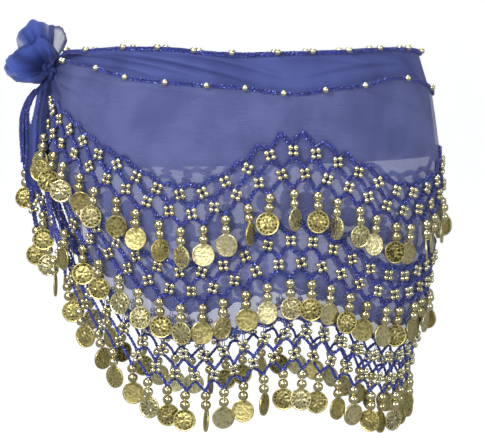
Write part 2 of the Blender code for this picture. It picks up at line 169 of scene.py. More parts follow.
class Paint:
    """The nodes of one material round its Principled shader."""

    def __init__(self, name: str) -> None:
        """Makes an empty material.

        Args:
            name: The material's name.
        """
        self.material = bpy.data.materials.new(name)
        self.material.use_nodes = True
        self.tree = self.material.node_tree
        self.shader = self.tree.nodes["Principled BSDF"]

    def node(self, kind: str, settings: dict, inputs: dict) -> bpy.types.Node:
        """Adds a node.

        Args:
            kind: The node's type.
            settings: Its own settings, set first.
            inputs: Its sockets by name or number, each a signal, a socket or a value.

        Returns:
            The new node.
        """
        made = self.tree.nodes.new(kind)
        for name, value in settings.items():
            setattr(made, name, value)
        for name, value in inputs.items():
            self.feed(made.inputs[name], value)
        return made

    def feed(self, target: bpy.types.NodeSocket, value: object) -> None:
        """Links or sets one input socket.

        Args:
            target: The input socket.
            value: A signal or socket to link, or a value to set.
        """
        source = value.socket if isinstance(value, Signal) else value
        if isinstance(source, bpy.types.NodeSocket):
            self.tree.links.new(source, target)
        else:
            target.default_value = source

    def coordinates(self, output: str) -> bpy.types.NodeSocket:
        """Returns the Object or UV coordinates of the piece."""
        return self.node("ShaderNodeTexCoord", {}, {}).outputs[output]

    def attribute(self, name: str) -> Signal:
        """Returns a value that the piece carries on its points."""
        node = self.node("ShaderNodeAttribute", {"attribute_name": name}, {})
        return Signal(self, node.outputs["Fac"])

    def noise(self, vector: bpy.types.NodeSocket, scale: float, detail: float = 3.0) -> Signal:
        """Returns cloudy noise.

        Args:
            vector: The coordinates it reads.
            scale: How many clouds a unit holds.
            detail: How finely it is broken up.

        Returns:
            The noise, about 0.3 to 0.7.
        """
        node = self.node("ShaderNodeTexNoise", {}, {"Vector": vector, "Scale": scale, "Detail": detail})
        return Signal(self, node.outputs[0])

    def grains(self, vector: bpy.types.NodeSocket, scale: float) -> Signal:
        """Splits the surface into grains.

        Args:
            vector: The coordinates it reads.
            scale: How many grains a unit holds.

        Returns:
            One even random number for each grain.
        """
        node = self.node("ShaderNodeTexVoronoi", {}, {"Vector": vector, "Scale": scale})
        split = self.node("ShaderNodeSeparateColor", {}, {"Color": node.outputs["Color"]})
        return Signal(self, split.outputs[0])

    def ripple(self, value: Signal, pitch: float) -> Signal:
        """Returns a sine wave of a pitch along a value."""
        turn = value * (2.0 * math.pi / pitch)
        return turn.maths("SINE", turn)

    def mix(self, share: Signal, first: object, second: object) -> bpy.types.NodeSocket:
        """Mixes two colours.

        Args:
            share: 0 for the first colour, 1 for the second.
            first: A colour or a colour socket.
            second: A colour or a colour socket.

        Returns:
            The mixed colour.
        """
        node = self.node("ShaderNodeMix", {"data_type": "RGBA"}, {0: share, 6: first, 7: second})
        return node.outputs[2]

    def bump(self, height: Signal, strength: float, distance: float) -> bpy.types.NodeSocket:
        """Returns a normal that follows a height.

        Args:
            height: The height signal.
            strength: The bump's strength.
            distance: The depth (m) of one unit of height.

        Returns:
            The bumped normal.
        """
        node = self.node("ShaderNodeBump", {}, {"Strength": strength, "Distance": distance, "Height": height})
        return node.outputs["Normal"]

    def finish(self, **sockets: object) -> bpy.types.Material:
        """Sets the shader's sockets; underscores in names stand for spaces.

        Args:
            sockets: Values, signals or sockets by the shader's socket names.

        Returns:
            The material.
        """
        for name, value in sockets.items():
            self.feed(self.shader.inputs[name.replace("_", " ")], value)
        return self.material


@dataclass(frozen=True)
class ChiffonFinish:
    """Sheer crinkled cloth of crossed threads, denser along its rolled hems and where it is folded over, with
    painted shade in its creases, on its gathers and round the knot.
    """

    name: str
    colour: Colour
    shade: Colour
    cover: float
    # deep is the colour of the painted shade in creases, on gathers and round the knot
    deep: Colour = (0.012, 0.018, 0.09, 1.0)
    hem_cover: float = 0.93
    fold_cover: float = 0.995
    thinning: float = 0.55
    sheen_tint: Colour = (0.55, 0.62, 0.95, 1.0)
    sheen: float = 0.25
    thread_pitch: float = 0.05
    roughness: float = 0.75

    def make(self) -> bpy.types.Material:
        """Mixes the cloth, whose UV map is in centimetres.

        Returns:
            The cloth's material.
        """
        paint = Paint(self.name)
        place = paint.coordinates("UV")
        split = paint.node("ShaderNodeSeparateXYZ", {}, {"Vector": place})
        warp = paint.ripple(Signal(paint, split.outputs[0]), self.thread_pitch)
        weft = paint.ripple(Signal(paint, split.outputs[1]), self.thread_pitch)
        slub = paint.node("ShaderNodeMapping", {}, {"Vector": place, "Scale": (0.35, 5.0, 1.0)})
        slubs = paint.noise(slub.outputs[0], 1.6)
        clouds = paint.noise(place, 0.22, 2.0)
        hem = paint.attribute("hem")
        # This mark is partly real and partly painted light: it raises the cover where cloth is folded over,
        # and it darkens the tone as painted shade.
        fold = paint.attribute("fold")
        thin = paint.attribute("thin")
        cover = self.cover + (slubs - 0.5) * 0.04 + (clouds - 0.5) * 0.12 + warp * weft * 0.015
        cover = cover + (self.hem_cover - cover) * hem
        cover = cover + (self.fold_cover - cover) * fold
        cover = cover * (1.0 - thin * self.thinning)
        tone = paint.mix((clouds * 0.85 + slubs * 0.15).above(0.35, 0.65), self.shade, self.colour)
        tone = paint.mix(hem * 0.5, tone, self.shade)
        # Painted shade: creases, gathers and the knot's surroundings darken towards deep.
        tone = paint.mix(fold * 0.85, tone, self.deep)
        return paint.finish(
            Base_Color=tone,
            Alpha=cover,
            Roughness=self.roughness,
            Sheen_Weight=self.sheen,
            Sheen_Roughness=0.4,
            Sheen_Tint=self.sheen_tint,
            Specular_IOR_Level=0.2,
            Normal=paint.bump(warp * weft + slubs * 0.8, 0.2, 0.0004),
        )


@dataclass(frozen=True)
class BraidFinish:
    """Royal blue crochet yarn with a glittering thread."""

    name: str = "glitter_yarn"
    deep: Colour = (0.007, 0.009, 0.085, 1.0)
    bright: Colour = (0.012, 0.026, 0.27, 1.0)
    glint: Colour = (0.30, 0.38, 1.0, 1.0)

    def make(self) -> bpy.types.Material:
        """Mixes the yarn.

        Returns:
            The yarn's material.
        """
        paint = Paint(self.name)
        place = paint.coordinates("Object")
        tufts = paint.noise(place, 520.0).above(0.42, 0.58)
        sparks = paint.grains(place, 1500.0).above(0.89, 0.92)
        tone = paint.mix(tufts, self.deep, self.bright)
        return paint.finish(
            Base_Color=paint.mix(sparks, tone, self.glint),
            Roughness=0.62 - sparks * 0.4,
            Metallic=sparks * 0.8,
            Sheen_Weight=0.15,
            Normal=paint.bump(paint.noise(place, 1900.0), 0.5, 0.0003),
        )


@dataclass(frozen=True)
class BeadFinish:
    """Smooth pale gold plating, a little cloudy."""

    name: str
    colour: Colour
    dull: Colour
    roughness: float

    def make(self) -> bpy.types.Material:
        """Mixes the plating.

        Returns:
            The beads' material.
        """
        paint = Paint(self.name)
        cloud = paint.noise(paint.coordinates("Object"), 260.0)
        worn = paint.attribute("shade") * 0.5 + cloud * 0.5
        return paint.finish(
            Base_Color=paint.mix(worn.above(0.35, 0.75), self.colour, self.dull),
            Metallic=1.0,
            Roughness=self.roughness + cloud * 0.1,
        )


@dataclass(frozen=True)
class CoinFinish:
    """Stamped plate: bright on some coins, satin or tarnished on others, with painted shade in its hollows
    and a painted dark reflection in the moat round its dots.
    """

    name: str = "stamped_coin"
    bright: Colour = (1.0, 0.91, 0.50, 1.0)
    satin: Colour = (0.76, 0.66, 0.26, 1.0)
    # Colour of the tarnish patches and darker coins, and of the painted shade and dark reflection in the
    # hollows and moat.
    tarnish_and_shade_colour: Colour = (0.085, 0.07, 0.02, 1.0)

    def make(self) -> bpy.types.Material:
        """Mixes the plating of the coins, whose UV map holds the place on a coin's face.

        Returns:
            The coins' material.
        """
        paint = Paint(self.name)
        reach = paint.node("ShaderNodeVectorMath", {"operation": "LENGTH"}, {0: paint.coordinates("UV")})
        radius = Signal(paint, reach.outputs["Value"])
        cloud = paint.noise(paint.coordinates("Object"), 420.0, 6.0)
        shade = paint.attribute("shade")
        relief = paint.attribute("relief")
        # The moat round the dots is painted dark, as a reflection of dark surroundings.
        moat = radius.above(0.66, 0.71) * (1.0 - radius.above(0.86, 0.9)) * (1.0 - relief * 0.9)
        base = paint.mix(shade.above(0.2, 0.45), self.bright, self.satin)
        stamped = shade.above(0.5, 0.56) + (1.0 - shade.above(0.3, 0.36)) * 0.6
        # Painted shade in the hollows and the painted dark moat, stronger on some coins.
        hollow = (moat * 0.97 + (1.0 - moat) * (1.0 - relief) * 0.8) * (0.62 + stamped * 0.38)
        # Partly real tarnish in cloudy patches and on darker coins, partly painted shade and reflection in
        # the hollows and moat.
        tarnish_and_shade = hollow * cloud.above(0.3, 0.5) + cloud.above(0.5, 0.66) * 0.35 + shade.above(0.8, 0.95) * 0.35
        return paint.finish(
            Base_Color=paint.mix(tarnish_and_shade.maths("MINIMUM", tarnish_and_shade, 1.0), base, self.tarnish_and_shade_colour),
            Metallic=0.95,
            Roughness=0.2 + shade * 0.12 + cloud * 0.15 + moat * 0.3,
            Normal=paint.bump(cloud, 0.6, 0.0009),
        )


@dataclass(frozen=True)
class StudioFinish:
    """Plain pale paper."""

    name: str = "pale_paper"
    colour: Colour = (0.93, 0.93, 0.925, 1.0)
    glow: float = 0.55

    def make(self) -> bpy.types.Material:
        """Mixes the paper, lit a little from within so that it stays even.

        Returns:
            The paper's material.
        """
        paint = Paint(self.name)
        return paint.finish(
            Base_Color=self.colour,
            Roughness=0.9,
            Emission_Color=self.colour,
            Emission_Strength=self.glow,
            Specular_IOR_Level=0.0,
        )


class Finishes:
    """The scarf's materials, made once."""

    def __init__(self) -> None:
        """Makes each material."""
        single = (0.112, 0.13, 0.30, 1.0), (0.085, 0.098, 0.245, 1.0)
        doubled = (0.062, 0.080, 0.25, 1.0), (0.045, 0.058, 0.19, 1.0)
        bunched = (0.055, 0.095, 0.36, 1.0), (0.03, 0.052, 0.23, 1.0)
        tied = (0.05, 0.08, 0.31, 1.0), (0.03, 0.048, 0.2, 1.0)
        self.sheer = ChiffonFinish("sheer_chiffon", *single, 0.65).make()
        self.veil = ChiffonFinish("veil_chiffon", *single, 0.34).make()
        self.doubled = ChiffonFinish("doubled_chiffon", *doubled, 0.94).make()
        self.bow = ChiffonFinish("bow_chiffon", *bunched, 0.92).make()
        self.tail = ChiffonFinish(
            "tail_chiffon", *tied, 0.985, deep=(0.007, 0.011, 0.05, 1.0), hem_cover=1.0, sheen=0.1,
        ).make()
        self.yarn = BraidFinish().make()
        self.flower = BeadFinish("flower_bead", (0.95, 0.90, 0.60, 1.0), (0.80, 0.73, 0.42, 1.0), 0.17).make()
        self.bead = BeadFinish("large_bead", (0.94, 0.86, 0.50, 1.0), (0.80, 0.69, 0.35, 1.0), 0.16).make()
        self.coin = CoinFinish().make()
        self.paper = StudioFinish().make()


class Bench:
    """Blender's modelling tools, used on one piece at a time."""

    @staticmethod
    def pick(*pieces: bpy.types.Object) -> None:
        """Selects pieces and nothing else.

        Args:
            pieces: The pieces; the first one becomes the active one.
        """
        bpy.ops.object.select_all(action="DESELECT")
        for piece in pieces:
            piece.select_set(True)
        bpy.context.view_layer.objects.active = pieces[0]

    @staticmethod
    def add(primitive: Callable, **settings: object) -> bpy.types.Object:
        """Adds a primitive with nothing else selected, its place and turn kept in its mesh.

        Args:
            primitive: The operator that adds it.
            settings: The operator's settings.

        Returns:
            The new piece.
        """
        bpy.ops.object.select_all(action="DESELECT")
        primitive(**settings)
        bpy.ops.object.transform_apply(location=True, rotation=True, scale=True)
        return bpy.context.object

    @staticmethod
    def grid(name: str, columns: int, rows: int) -> bpy.types.Object:
        """Adds a flat grid one metre square.

        Args:
            name: The piece's name.
            columns: Its columns, along X.
            rows: Its rows, along Y.

        Returns:
            The grid, with its corner at -0.5, -0.5.
        """
        piece = Bench.add(
            bpy.ops.mesh.primitive_grid_add, x_subdivisions=columns, y_subdivisions=rows, size=1.0,
        )
        piece.name = name
        return piece

    @staticmethod
    def choose(piece: bpy.types.Object, part: Part, chosen: list) -> None:
        """Opens a piece in edit mode with some of its faces or points selected.

        Args:
            piece: The piece.
            part: What is selected.
            chosen: True for each face or point that is.
        """
        Bench.pick(piece)
        bpy.ops.object.mode_set(mode="EDIT")
        bpy.ops.mesh.select_mode(type=part.name)
        bpy.ops.mesh.select_all(action="DESELECT")
        bpy.ops.object.mode_set(mode="OBJECT")
        getattr(piece.data, part.value).foreach_set("select", chosen)
        bpy.ops.object.mode_set(mode="EDIT")

    @staticmethod
    def read(parts: object, name: str, kind: type, width: int = 1) -> np.ndarray:
        """Reads one value of every part of a mesh.

        Args:
            parts: The mesh's points, corners or faces.
            name: The value's name.
            kind: The type of its numbers.
            width: How many numbers each part has.

        Returns:
            The numbers in one row.
        """
        values = np.empty(len(parts) * width, kind)
        parts.foreach_get(name, values)
        return values

    @staticmethod
    def points(piece: bpy.types.Object) -> np.ndarray:
        """Returns a piece's points as rows of x, y, z, in metres."""
        return Bench.read(piece.data.vertices, "co", float, 3).reshape(-1, 3)

    @staticmethod
    def move_points(piece: bpy.types.Object, points: np.ndarray) -> None:
        """Moves a piece's points to new places."""
        piece.data.vertices.foreach_set("co", points.astype(np.float32).ravel())
        piece.data.update()

    @staticmethod
    def lay_uv(piece: bpy.types.Object, places: np.ndarray) -> None:
        """Lays the UV map.

        Args:
            piece: The piece.
            places: Each point's place on the flat cloth (cm) or on the coin's face.
        """
        loops = Bench.read(piece.data.loops, "vertex_index", int)
        piece.data.uv_layers[0].data.foreach_set("uv", places[loops].astype(np.float32).ravel())

    @staticmethod
    def mark(piece: bpy.types.Object, name: str, values: np.ndarray) -> None:
        """Stores one number for each point under a name."""
        layer = piece.data.attributes.new(name, "FLOAT", "POINT")
        layer.data.foreach_set("value", values.astype(np.float32))

    @staticmethod
    def smooth(piece: bpy.types.Object) -> None:
        """Shades a piece smooth all over."""
        Bench.pick(piece)
        bpy.ops.object.shade_smooth()

    @staticmethod
    def join(name: str, pieces: list) -> bpy.types.Object:
        """Joins pieces into the first one.

        Args:
            name: The joined piece's name.
            pieces: The pieces.

        Returns:
            The joined piece.
        """
        Bench.pick(*pieces)
        bpy.ops.object.join()
        pieces[0].name = name
        return pieces[0]

    @staticmethod
    def tubes(name: str, paths: list, radius: float) -> bpy.types.Object:
        """Runs tubes with four smooth sides along paths and makes them one mesh.

        Args:
            name: The piece's name.
            paths: Arrays of points in metres, one for each tube.
            radius: The tubes' radius (cm).

        Returns:
            The piece, with closed ends.
        """
        curve = bpy.data.curves.new(name, "CURVE")
        curve.dimensions = "3D"
        curve.bevel_depth = radius * CM
        curve.bevel_resolution = 0
        curve.use_fill_caps = True
        for path in paths:
            spline = curve.splines.new("POLY")
            spline.points.add(len(path) - 1)
            spline.points.foreach_set("co", np.c_[path, np.ones(len(path))].astype(np.float32).ravel())
        piece = bpy.data.objects.new(name, curve)
        bpy.context.scene.collection.objects.link(piece)
        Bench.pick(piece)
        bpy.ops.object.convert(target="MESH")
        piece = bpy.context.object
        piece.name = name
        Bench.smooth(piece)
        return piece

    @staticmethod
    def repeat(name: str, template: bpy.types.Object, places: list, shades: np.ndarray) -> bpy.types.Object:
        """Joins copies of a piece into one mesh.

        Args:
            name: The new piece's name.
            template: The piece that is copied.
            places: A 4x4 matrix for each copy.
            shades: A number for each copy, kept on its points as "shade".

        Returns:
            The joined piece.
        """
        data = template.data
        points = np.c_[Bench.points(template), np.ones(len(data.vertices))]
        corners = Bench.read(data.loops, "vertex_index", int)
        starts = Bench.read(data.polygons, "loop_start", int)
        totals = Bench.read(data.polygons, "loop_total", int)
        smooth = Bench.read(data.polygons, "use_smooth", bool)
        count = len(places)
        made = bpy.data.meshes.new(name)
        made.vertices.add(len(points) * count)
        made.loops.add(len(corners) * count)
        made.polygons.add(len(starts) * count)
        spread = np.vstack([(points @ np.array(place).T)[:, :3] for place in places])
        made.vertices.foreach_set("co", spread.astype(np.float32).ravel())
        turns = np.arange(count)
        made.loops.foreach_set("vertex_index", (corners + turns[:, None] * len(points)).ravel())
        made.polygons.foreach_set("loop_start", (starts + turns[:, None] * len(corners)).ravel())
        made.polygons.foreach_set("loop_total", np.tile(totals, count))
        made.polygons.foreach_set("use_smooth", np.tile(smooth, count))
        if data.uv_layers:
            flat = Bench.read(data.uv_layers[0].data, "uv", float, 2)
            made.uv_layers.new(name="UVMap").data.foreach_set("uv", np.tile(flat, count).astype(np.float32))
        made.update(calc_edges=True)
        piece = bpy.data.objects.new(name, made)
        bpy.context.scene.collection.objects.link(piece)
        Bench.mark(piece, "shade", np.repeat(shades, len(points)))
        if "relief" in data.attributes:
            relief = Bench.read(data.attributes["relief"].data, "value", float)
            Bench.mark(piece, "relief", np.tile(relief, count))
        return piece

    @staticmethod
    def settle(piece: bpy.types.Object, finish: bpy.types.Material, slot: Slot, *nodes: str) -> None:
        """Dresses a piece and sets it riding on the body.

        Args:
            piece: The finished piece.
            finish: Its material.
            slot: Not used.
            nodes: The CAD nodes that it stands for.
        """
        piece.data.materials.clear()
        piece.data.materials.append(finish)
        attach(piece, BODY)
        if nodes:
            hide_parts(*nodes)
        LOG.info("%s: %d faces", piece.name, len(piece.data.polygons))


# Way round from the knot to the far hip (cm, along the widest ring), and the heights (cm) there of
# the lines in Line, a band's being its row of upper flowers. The last column says how far the nets
# open: 0 in the valleys, 1 at the peaks
LINES = np.array((
    (0.6, 0.0, -0.7, -4.3, -8.6, -4.6, -10.4, 0.2),
    (4.7, 0.0, -0.9, -5.9, -11.2, -11.4, -16.5, 0.2),
    (7.5, 0.1, -1.15, -7.1, -13.2, -16.0, -20.0, 0.15),
    (10.5, 0.25, -1.75, -8.8, -15.1, -20.6, -22.5, 0.1),
    (12.6, 0.25, -2.2, -9.7, -16.5, -22.4, -23.9, 0.05),
    (14.6, 0.25, -2.4, -10.8, -17.5, -23.5, -24.7, 0.0),
    (16.6, 0.15, -2.55, -11.6, -18.15, -24.15, -25.15, 0.0),
    (18.6, -0.05, -2.7, -11.85, -18.3, -24.2, -25.3, 0.05),
    (22.9, -0.25, -2.95, -9.85, -16.95, -23.2, -24.4, 0.35),
    (25.0, -0.2, -3.25, -8.6, -15.95, -22.6, -23.7, 0.85),
    (27.4, -0.15, -3.45, -8.2, -15.6, -22.3, -23.35, 1.0),
    (31.0, -0.05, -3.0, -9.3, -16.6, -22.9, -23.95, 0.55),
    (34.0, 0.05, -2.75, -10.75, -18.1, -23.8, -25.0, 0.2),
    (37.0, 0.2, -2.2, -11.9, -19.0, -24.5, -25.9, 0.0),
    (41.0, 0.2, -2.5, -11.5, -18.6, -24.5, -26.0, 0.2),
    (45.8, -0.15, -3.6, -9.7, -17.9, -23.8, -25.1, 0.9),
))


def soft_step(value: np.ndarray) -> np.ndarray:
    """Returns a step from 0 to 1 with soft ends."""
    value = np.clip(value, 0.0, 1.0)
    return value * value * (3.0 - 2.0 * value)


def hill(offset: np.ndarray, width: float) -> np.ndarray:
    """Returns a round hill, 1 in its middle and low past its width."""
    return np.exp(-((offset / width) ** 2))


def gone_along(points: np.ndarray) -> np.ndarray:
    """Returns how far along a line each of its points lies."""
    return np.concatenate(([0.0], np.cumsum(np.linalg.norm(np.diff(points, axis=0), axis=1))))


@dataclass
class Ring:
    """The worn ring: its plan at each height, and the lines that run round it."""

    heights: tuple = (-34.0, -32.0, -27.0, -24.0, -21.0, -16.0, -11.5, -8.0, -3.0, 0.0, 1.0)
    half_widths: tuple = (14.0, 14.1, 14.6, 15.3, 16.05, 16.75, 17.2, 17.0, 16.3, 15.4, 15.2)
    depth_ratio: float = 0.68
    widest: float = 17.2
    flute_count: int = 8
    flute_depth: float = 0.15
    flute_top: float = -12.0
    flute_full: float = -22.0
    angle_steps: int = 1441
    gather_point: tuple = (-16.75, -0.1, -1.8)
    pinch_way: float = 2.4
    pinch_full: float = 0.3
    pinch_share: float = 0.92
    pinch_half_depth: float = 0.45
    pinch_height_share: float = 0.35
    fold_height: float = -9.61
    fold_slope: float = 0.0198
    fold_way: float = 15.0
    before_table: float = -0.3

    def __post_init__(self) -> None:
        """Measures the way round the widest ring at each angle from the knot."""
        self.angles = np.linspace(0.0, 2.0 * math.pi, self.angle_steps)
        speed = self.widest * np.hypot(np.sin(self.angles), self.depth_ratio * np.cos(self.angles))
        steps = (speed[1:] + speed[:-1]) / 2.0 * np.diff(self.angles)
        self.ways = np.concatenate(([0.0], np.cumsum(steps)))
        self.round = float(self.ways[-1])
        self.far_hip = self.round / 2.0
        self.slopes = np.gradient(LINES[:, 1:], LINES[:, 0], axis=0)
        self.slopes[-1] = 0.0

    def side(self, way: object, half: Half) -> object:
        """Returns a way of the front as it lies on a half."""
        return self.round - way if half is Half.BACK else way

    def line(self, line: Line, way: object) -> np.ndarray:
        """Reads a line of the table on a smooth curve; the line where the inner wrap is folded runs straight.

        Args:
            line: The line.
            way: One way round or an array of them (cm).

        Returns:
            The line's heights (cm) there.
        """
        way = np.asarray(way, float)
        way = np.minimum(way, self.round - way)
        if line is Line.FOLD:
            return self.fold_height + self.fold_slope * (way - self.fold_way)
        column = line.value
        row = np.clip(np.searchsorted(LINES[:, 0], way) - 1, 0, len(LINES) - 2)
        start, end = LINES[row, column], LINES[row + 1, column]
        span = LINES[row + 1, 0] - LINES[row, 0]
        t = np.clip((way - LINES[row, 0]) / span, self.before_table, 1.0)
        first, last = self.slopes[row, column - 1] * span, self.slopes[row + 1, column - 1] * span
        return (
            start * (2 * t**3 - 3 * t**2 + 1) + first * (t**3 - 2 * t**2 + t)
            + end * (3 * t**2 - 2 * t**3) + last * (t**3 - t**2)
        )

    def axes(self, way: object) -> tuple:
        """Finds the ring's directions.

        Args:
            way: Ways round (cm).

        Returns:
            The outward directions there, and those along the ring.
        """
        angle = np.interp(way, self.ways, self.angles)
        outward = np.stack((-self.depth_ratio * np.cos(angle), -np.sin(angle), 0.0 * angle), axis=-1)
        outward /= np.linalg.norm(outward, axis=-1, keepdims=True)
        along = np.stack((-outward[..., 1], outward[..., 0], 0.0 * angle), axis=-1)
        return outward, along

    def place(self, way: object, height: object, out: object = 0.0) -> np.ndarray:
        """Finds points on the ring.

        Args:
            way: Ways round (cm).
            height: Heights (cm).
            out: Distances out from the outer cloth's face (cm).

        Returns:
            The points, in metres.
        """
        way, height, out = np.broadcast_arrays(*(np.asarray(v, float) for v in (way, height, out)))
        angle = np.interp(way, self.ways, self.angles)
        half = np.interp(height, self.heights, self.half_widths)
        point = np.stack((-half * np.cos(angle), -half * self.depth_ratio * np.sin(angle), height), axis=-1)
        fade = soft_step((self.flute_top - height) / (self.flute_top - self.flute_full))
        flute = self.flute_depth * fade * np.sin(self.flute_count * 2.0 * math.pi * way / self.round)
        return (point + self.axes(way)[0] * (flute + out)[..., None]) * CM

    def pinch(self, points: np.ndarray, way: np.ndarray) -> np.ndarray:
        """Draws points near the knot in to it, as cloth that is tied there.

        Args:
            points: Points of the cloth, in metres.
            way: Their ways round (cm).

        Returns:
            The points, in metres.
        """
        near = np.minimum(way, self.round - way)
        share = soft_step((self.pinch_way - near) / (self.pinch_way - self.pinch_full))[:, None]
        knot = np.array(self.gather_point) * CM
        aim = np.stack((
            np.full(len(points), knot[0]),
            knot[1] + np.sign(points[:, 1]) * self.pinch_half_depth * CM,
            knot[2] + (points[:, 2] - knot[2]) * self.pinch_height_share,
        ), axis=-1)
        return points + (aim - points) * self.pinch_share * share

    def stand(self, way: float, height: float, out: float, spin: float = 0.0, turn: float = 0.0) -> Matrix:
        """Places a small piece on the ring, its X along the ring, Y up and Z outwards.

        Args:
            way: Its way round (cm).
            height: Its height (cm).
            out: Its distance out (cm).
            spin: Its turn about its outward axis (degrees).
            turn: Its turn about its upright axis (degrees).

        Returns:
            The piece's matrix.
        """
        outward, along = self.axes(way)
        axes = Matrix((along, (0.0, 0.0, 1.0), outward)).transposed().to_4x4()
        upright = Matrix.Rotation(math.radians(turn), 4, "Y")
        tilt = Matrix.Rotation(math.radians(spin), 4, "Z")
        return Matrix.Translation(Vector(self.place(way, height, out))) @ axes @ upright @ tilt


@dataclass(frozen=True)
class Crease:
    """A soft trough in cloth, with a low ridge above it, between two points (way, height) in cm."""

    start: tuple
    end: tuple
    width: float
    depth: float

    def lay(self, way: np.ndarray, height: np.ndarray) -> tuple:
        """Works out the crease at points of the cloth.

        Args:
            way: The points' ways round (cm).
            height: The points' heights (cm).

        Returns:
            How far out (cm) it moves the cloth at each point, and how strongly its trough is marked there, as
            cloth folded over and as painted shade.
        """
        start, end = np.array(self.start), np.array(self.end)
        run = end - start
        length = float(np.hypot(*run))
        offset = np.stack((way, height), axis=-1) - start
        along = offset @ run / length**2
        bow = 0.12 * length * np.sin(math.pi * np.clip(along, 0.0, 1.0)) * np.sign(self.depth)
        across = (offset[..., 0] * -run[1] + offset[..., 1] * run[0]) / length - bow * 0.3
        taper = np.sin(math.pi * np.clip(along, 0.0, 1.0)) ** 0.8
        ridge = hill(across - 0.7 * self.width, self.width)
        trough = hill(across + 0.6 * self.width, 0.6 * self.width)
        # Painted shade in the trough, where the cloth also counts as folded over and denser.
        fold = taper * hill(across + 0.5 * self.width, 0.45 * self.width)
        return self.depth * taper * (ridge - trough), fold * min(1.0, abs(self.depth) * 3.5)


@dataclass
class ClothShell:
    """One half of a wrap of chiffon, between two lines of the ring."""

    ring: Ring
    half: Half
    node: str
    top: Line
    bottom: Line
    out: float
    creases: tuple = ()
    columns: int = 240
    rows: int = 96
    first: float = 0.35
    hem_width: float = 0.22
    tremble: float = 0.03
    gather_way: float = 8.0
    gather_depth: float = 0.16
    gather_folds: float = 19.0
    ray_way: float = -1.2
    ray_height: float = -1.8
    # The reach and fade (cm) of a patch of painted shade round the knot.
    dark_reach: float = 6.4
    dark_fade: float = 4.6

    def flat_area(self) -> float:
        """Adds up the cut piece.

        Returns:
            Its area (m2).
        """
        way = np.linspace(self.first, self.ring.far_hip, 300)
        high, low = self.ring.line(self.top, way), self.ring.line(self.bottom, way)
        share = np.interp((high + low) / 2.0, self.ring.heights, self.ring.half_widths) / self.ring.widest
        step = (way[1] - way[0]) * CM
        return float(np.sum((high - low) * CM * share) * step)

    def drape(self, way: np.ndarray, height: np.ndarray, high: np.ndarray) -> tuple:
        """Lays the creases, the gathers towards the knot and a faint unevenness.

        Args:
            way: The points' ways round (cm).
            height: The points' heights (cm).
            high: The upper edge's height (cm) over each point.

        Returns:
            How far out each point lies (cm), and how much it is marked there as folded, denser cloth with
            painted shade: in the creases, on the gathers and round the knot.
        """
        front_way = np.minimum(way, self.ring.round - way)
        laid = np.array([crease.lay(front_way, height) for crease in self.creases])
        gather = soft_step((self.gather_way - front_way) / self.gather_way)
        ray = self.gather_folds * np.arctan2(height - self.ray_height, front_way - self.ray_way)
        wave = np.sin(way * 1.9 + height * 0.35) + 0.6 * np.sin(way * 3.7 - height * 0.8 + 1.3)
        out = self.out + laid[:, 0].sum(axis=0) + self.gather_depth * gather * np.sin(ray)
        out = out + self.tremble * wave * soft_step((high - height) / 3.0)
        # Painted shade along the gathers that run into the knot, and a patch of painted shade round it.
        bunched = 0.5 * gather * (1.0 + np.sin(ray + 2.2)) * soft_step((4.6 - front_way) / 4.0)
        reach = np.hypot(front_way, 0.9 * height + 1.9)
        bunched = bunched + soft_step((self.dark_reach - reach) / self.dark_fade)
        return out, np.clip(laid[:, 1].max(axis=0) * 0.7 + bunched, 0.0, 1.0)

    def make(self, finish: bpy.types.Material, slot: Slot) -> bpy.types.Object:
        """Builds and dresses the shell.

        Args:
            finish: Its material.
            slot: The slot handed on to Bench.settle.

        Returns:
            The shell.
        """
        name = f"{self.node}_{self.half.value}"
        piece = Bench.grid(f"{name}_shell", self.columns, self.rows)
        share = Bench.points(piece) + 0.5
        near, far = self.first, self.ring.far_hip
        if self.half is Half.BACK:
            near, far = self.ring.far_hip, self.ring.round - self.first
        way = near + (far - near) * share[:, 0]
        high, low = self.ring.line(self.top, way), self.ring.line(self.bottom, way)
        height = low + (high - low) * share[:, 1]
        out, fold = self.drape(way, height, high)
        Bench.move_points(piece, self.ring.pinch(self.ring.place(way, height, out), way))
        Bench.lay_uv(piece, np.stack((way, height), axis=-1))
        edge = np.minimum(high - height, height - low) / self.hem_width
        Bench.mark(piece, "hem", 1.0 - soft_step(edge))
        # Marks the creases, the gathers and the knot's surroundings for painted shade and denser cover.
        Bench.mark(piece, "fold", fold)
        Bench.smooth(piece)
        Bench.settle(piece, finish, slot, name)
        return piece


@dataclass(frozen=True)
class Plait:
    """Three strands crossing over each other: how far they swing, and how thick they are (cm)."""

    swing: float = 0.14
    depth: float = 0.075
    strand: float = 0.085
    period: float = 1.05
    step: float = 0.115
    jitter: float = 0.014

    def paths(self, points: np.ndarray, outward: np.ndarray, chance: np.random.Generator) -> list:
        """Runs the strands along a line.

        Args:
            points: The line's points, in metres and a step apart.
            outward: The face's direction at each point.
            chance: The source of the strands' unevenness.

        Returns:
            An array of points for each strand.
        """
        run = np.gradient(points, axis=0)
        side = np.cross(outward, run)
        side /= np.linalg.norm(side, axis=1, keepdims=True) + 1e-12
        way = gone_along(points) / CM
        made = []
        for strand in range(3):
            phase = 2.0 * math.pi * (way / self.period + strand / 3.0)
            swing = self.swing * np.sin(phase) + chance.normal(0.0, self.jitter, len(way))
            depth = self.depth * np.sin(2.0 * phase) + chance.normal(0.0, self.jitter, len(way))
            made.append(points + (side * swing[:, None] + outward * depth[:, None]) * CM)
        return made


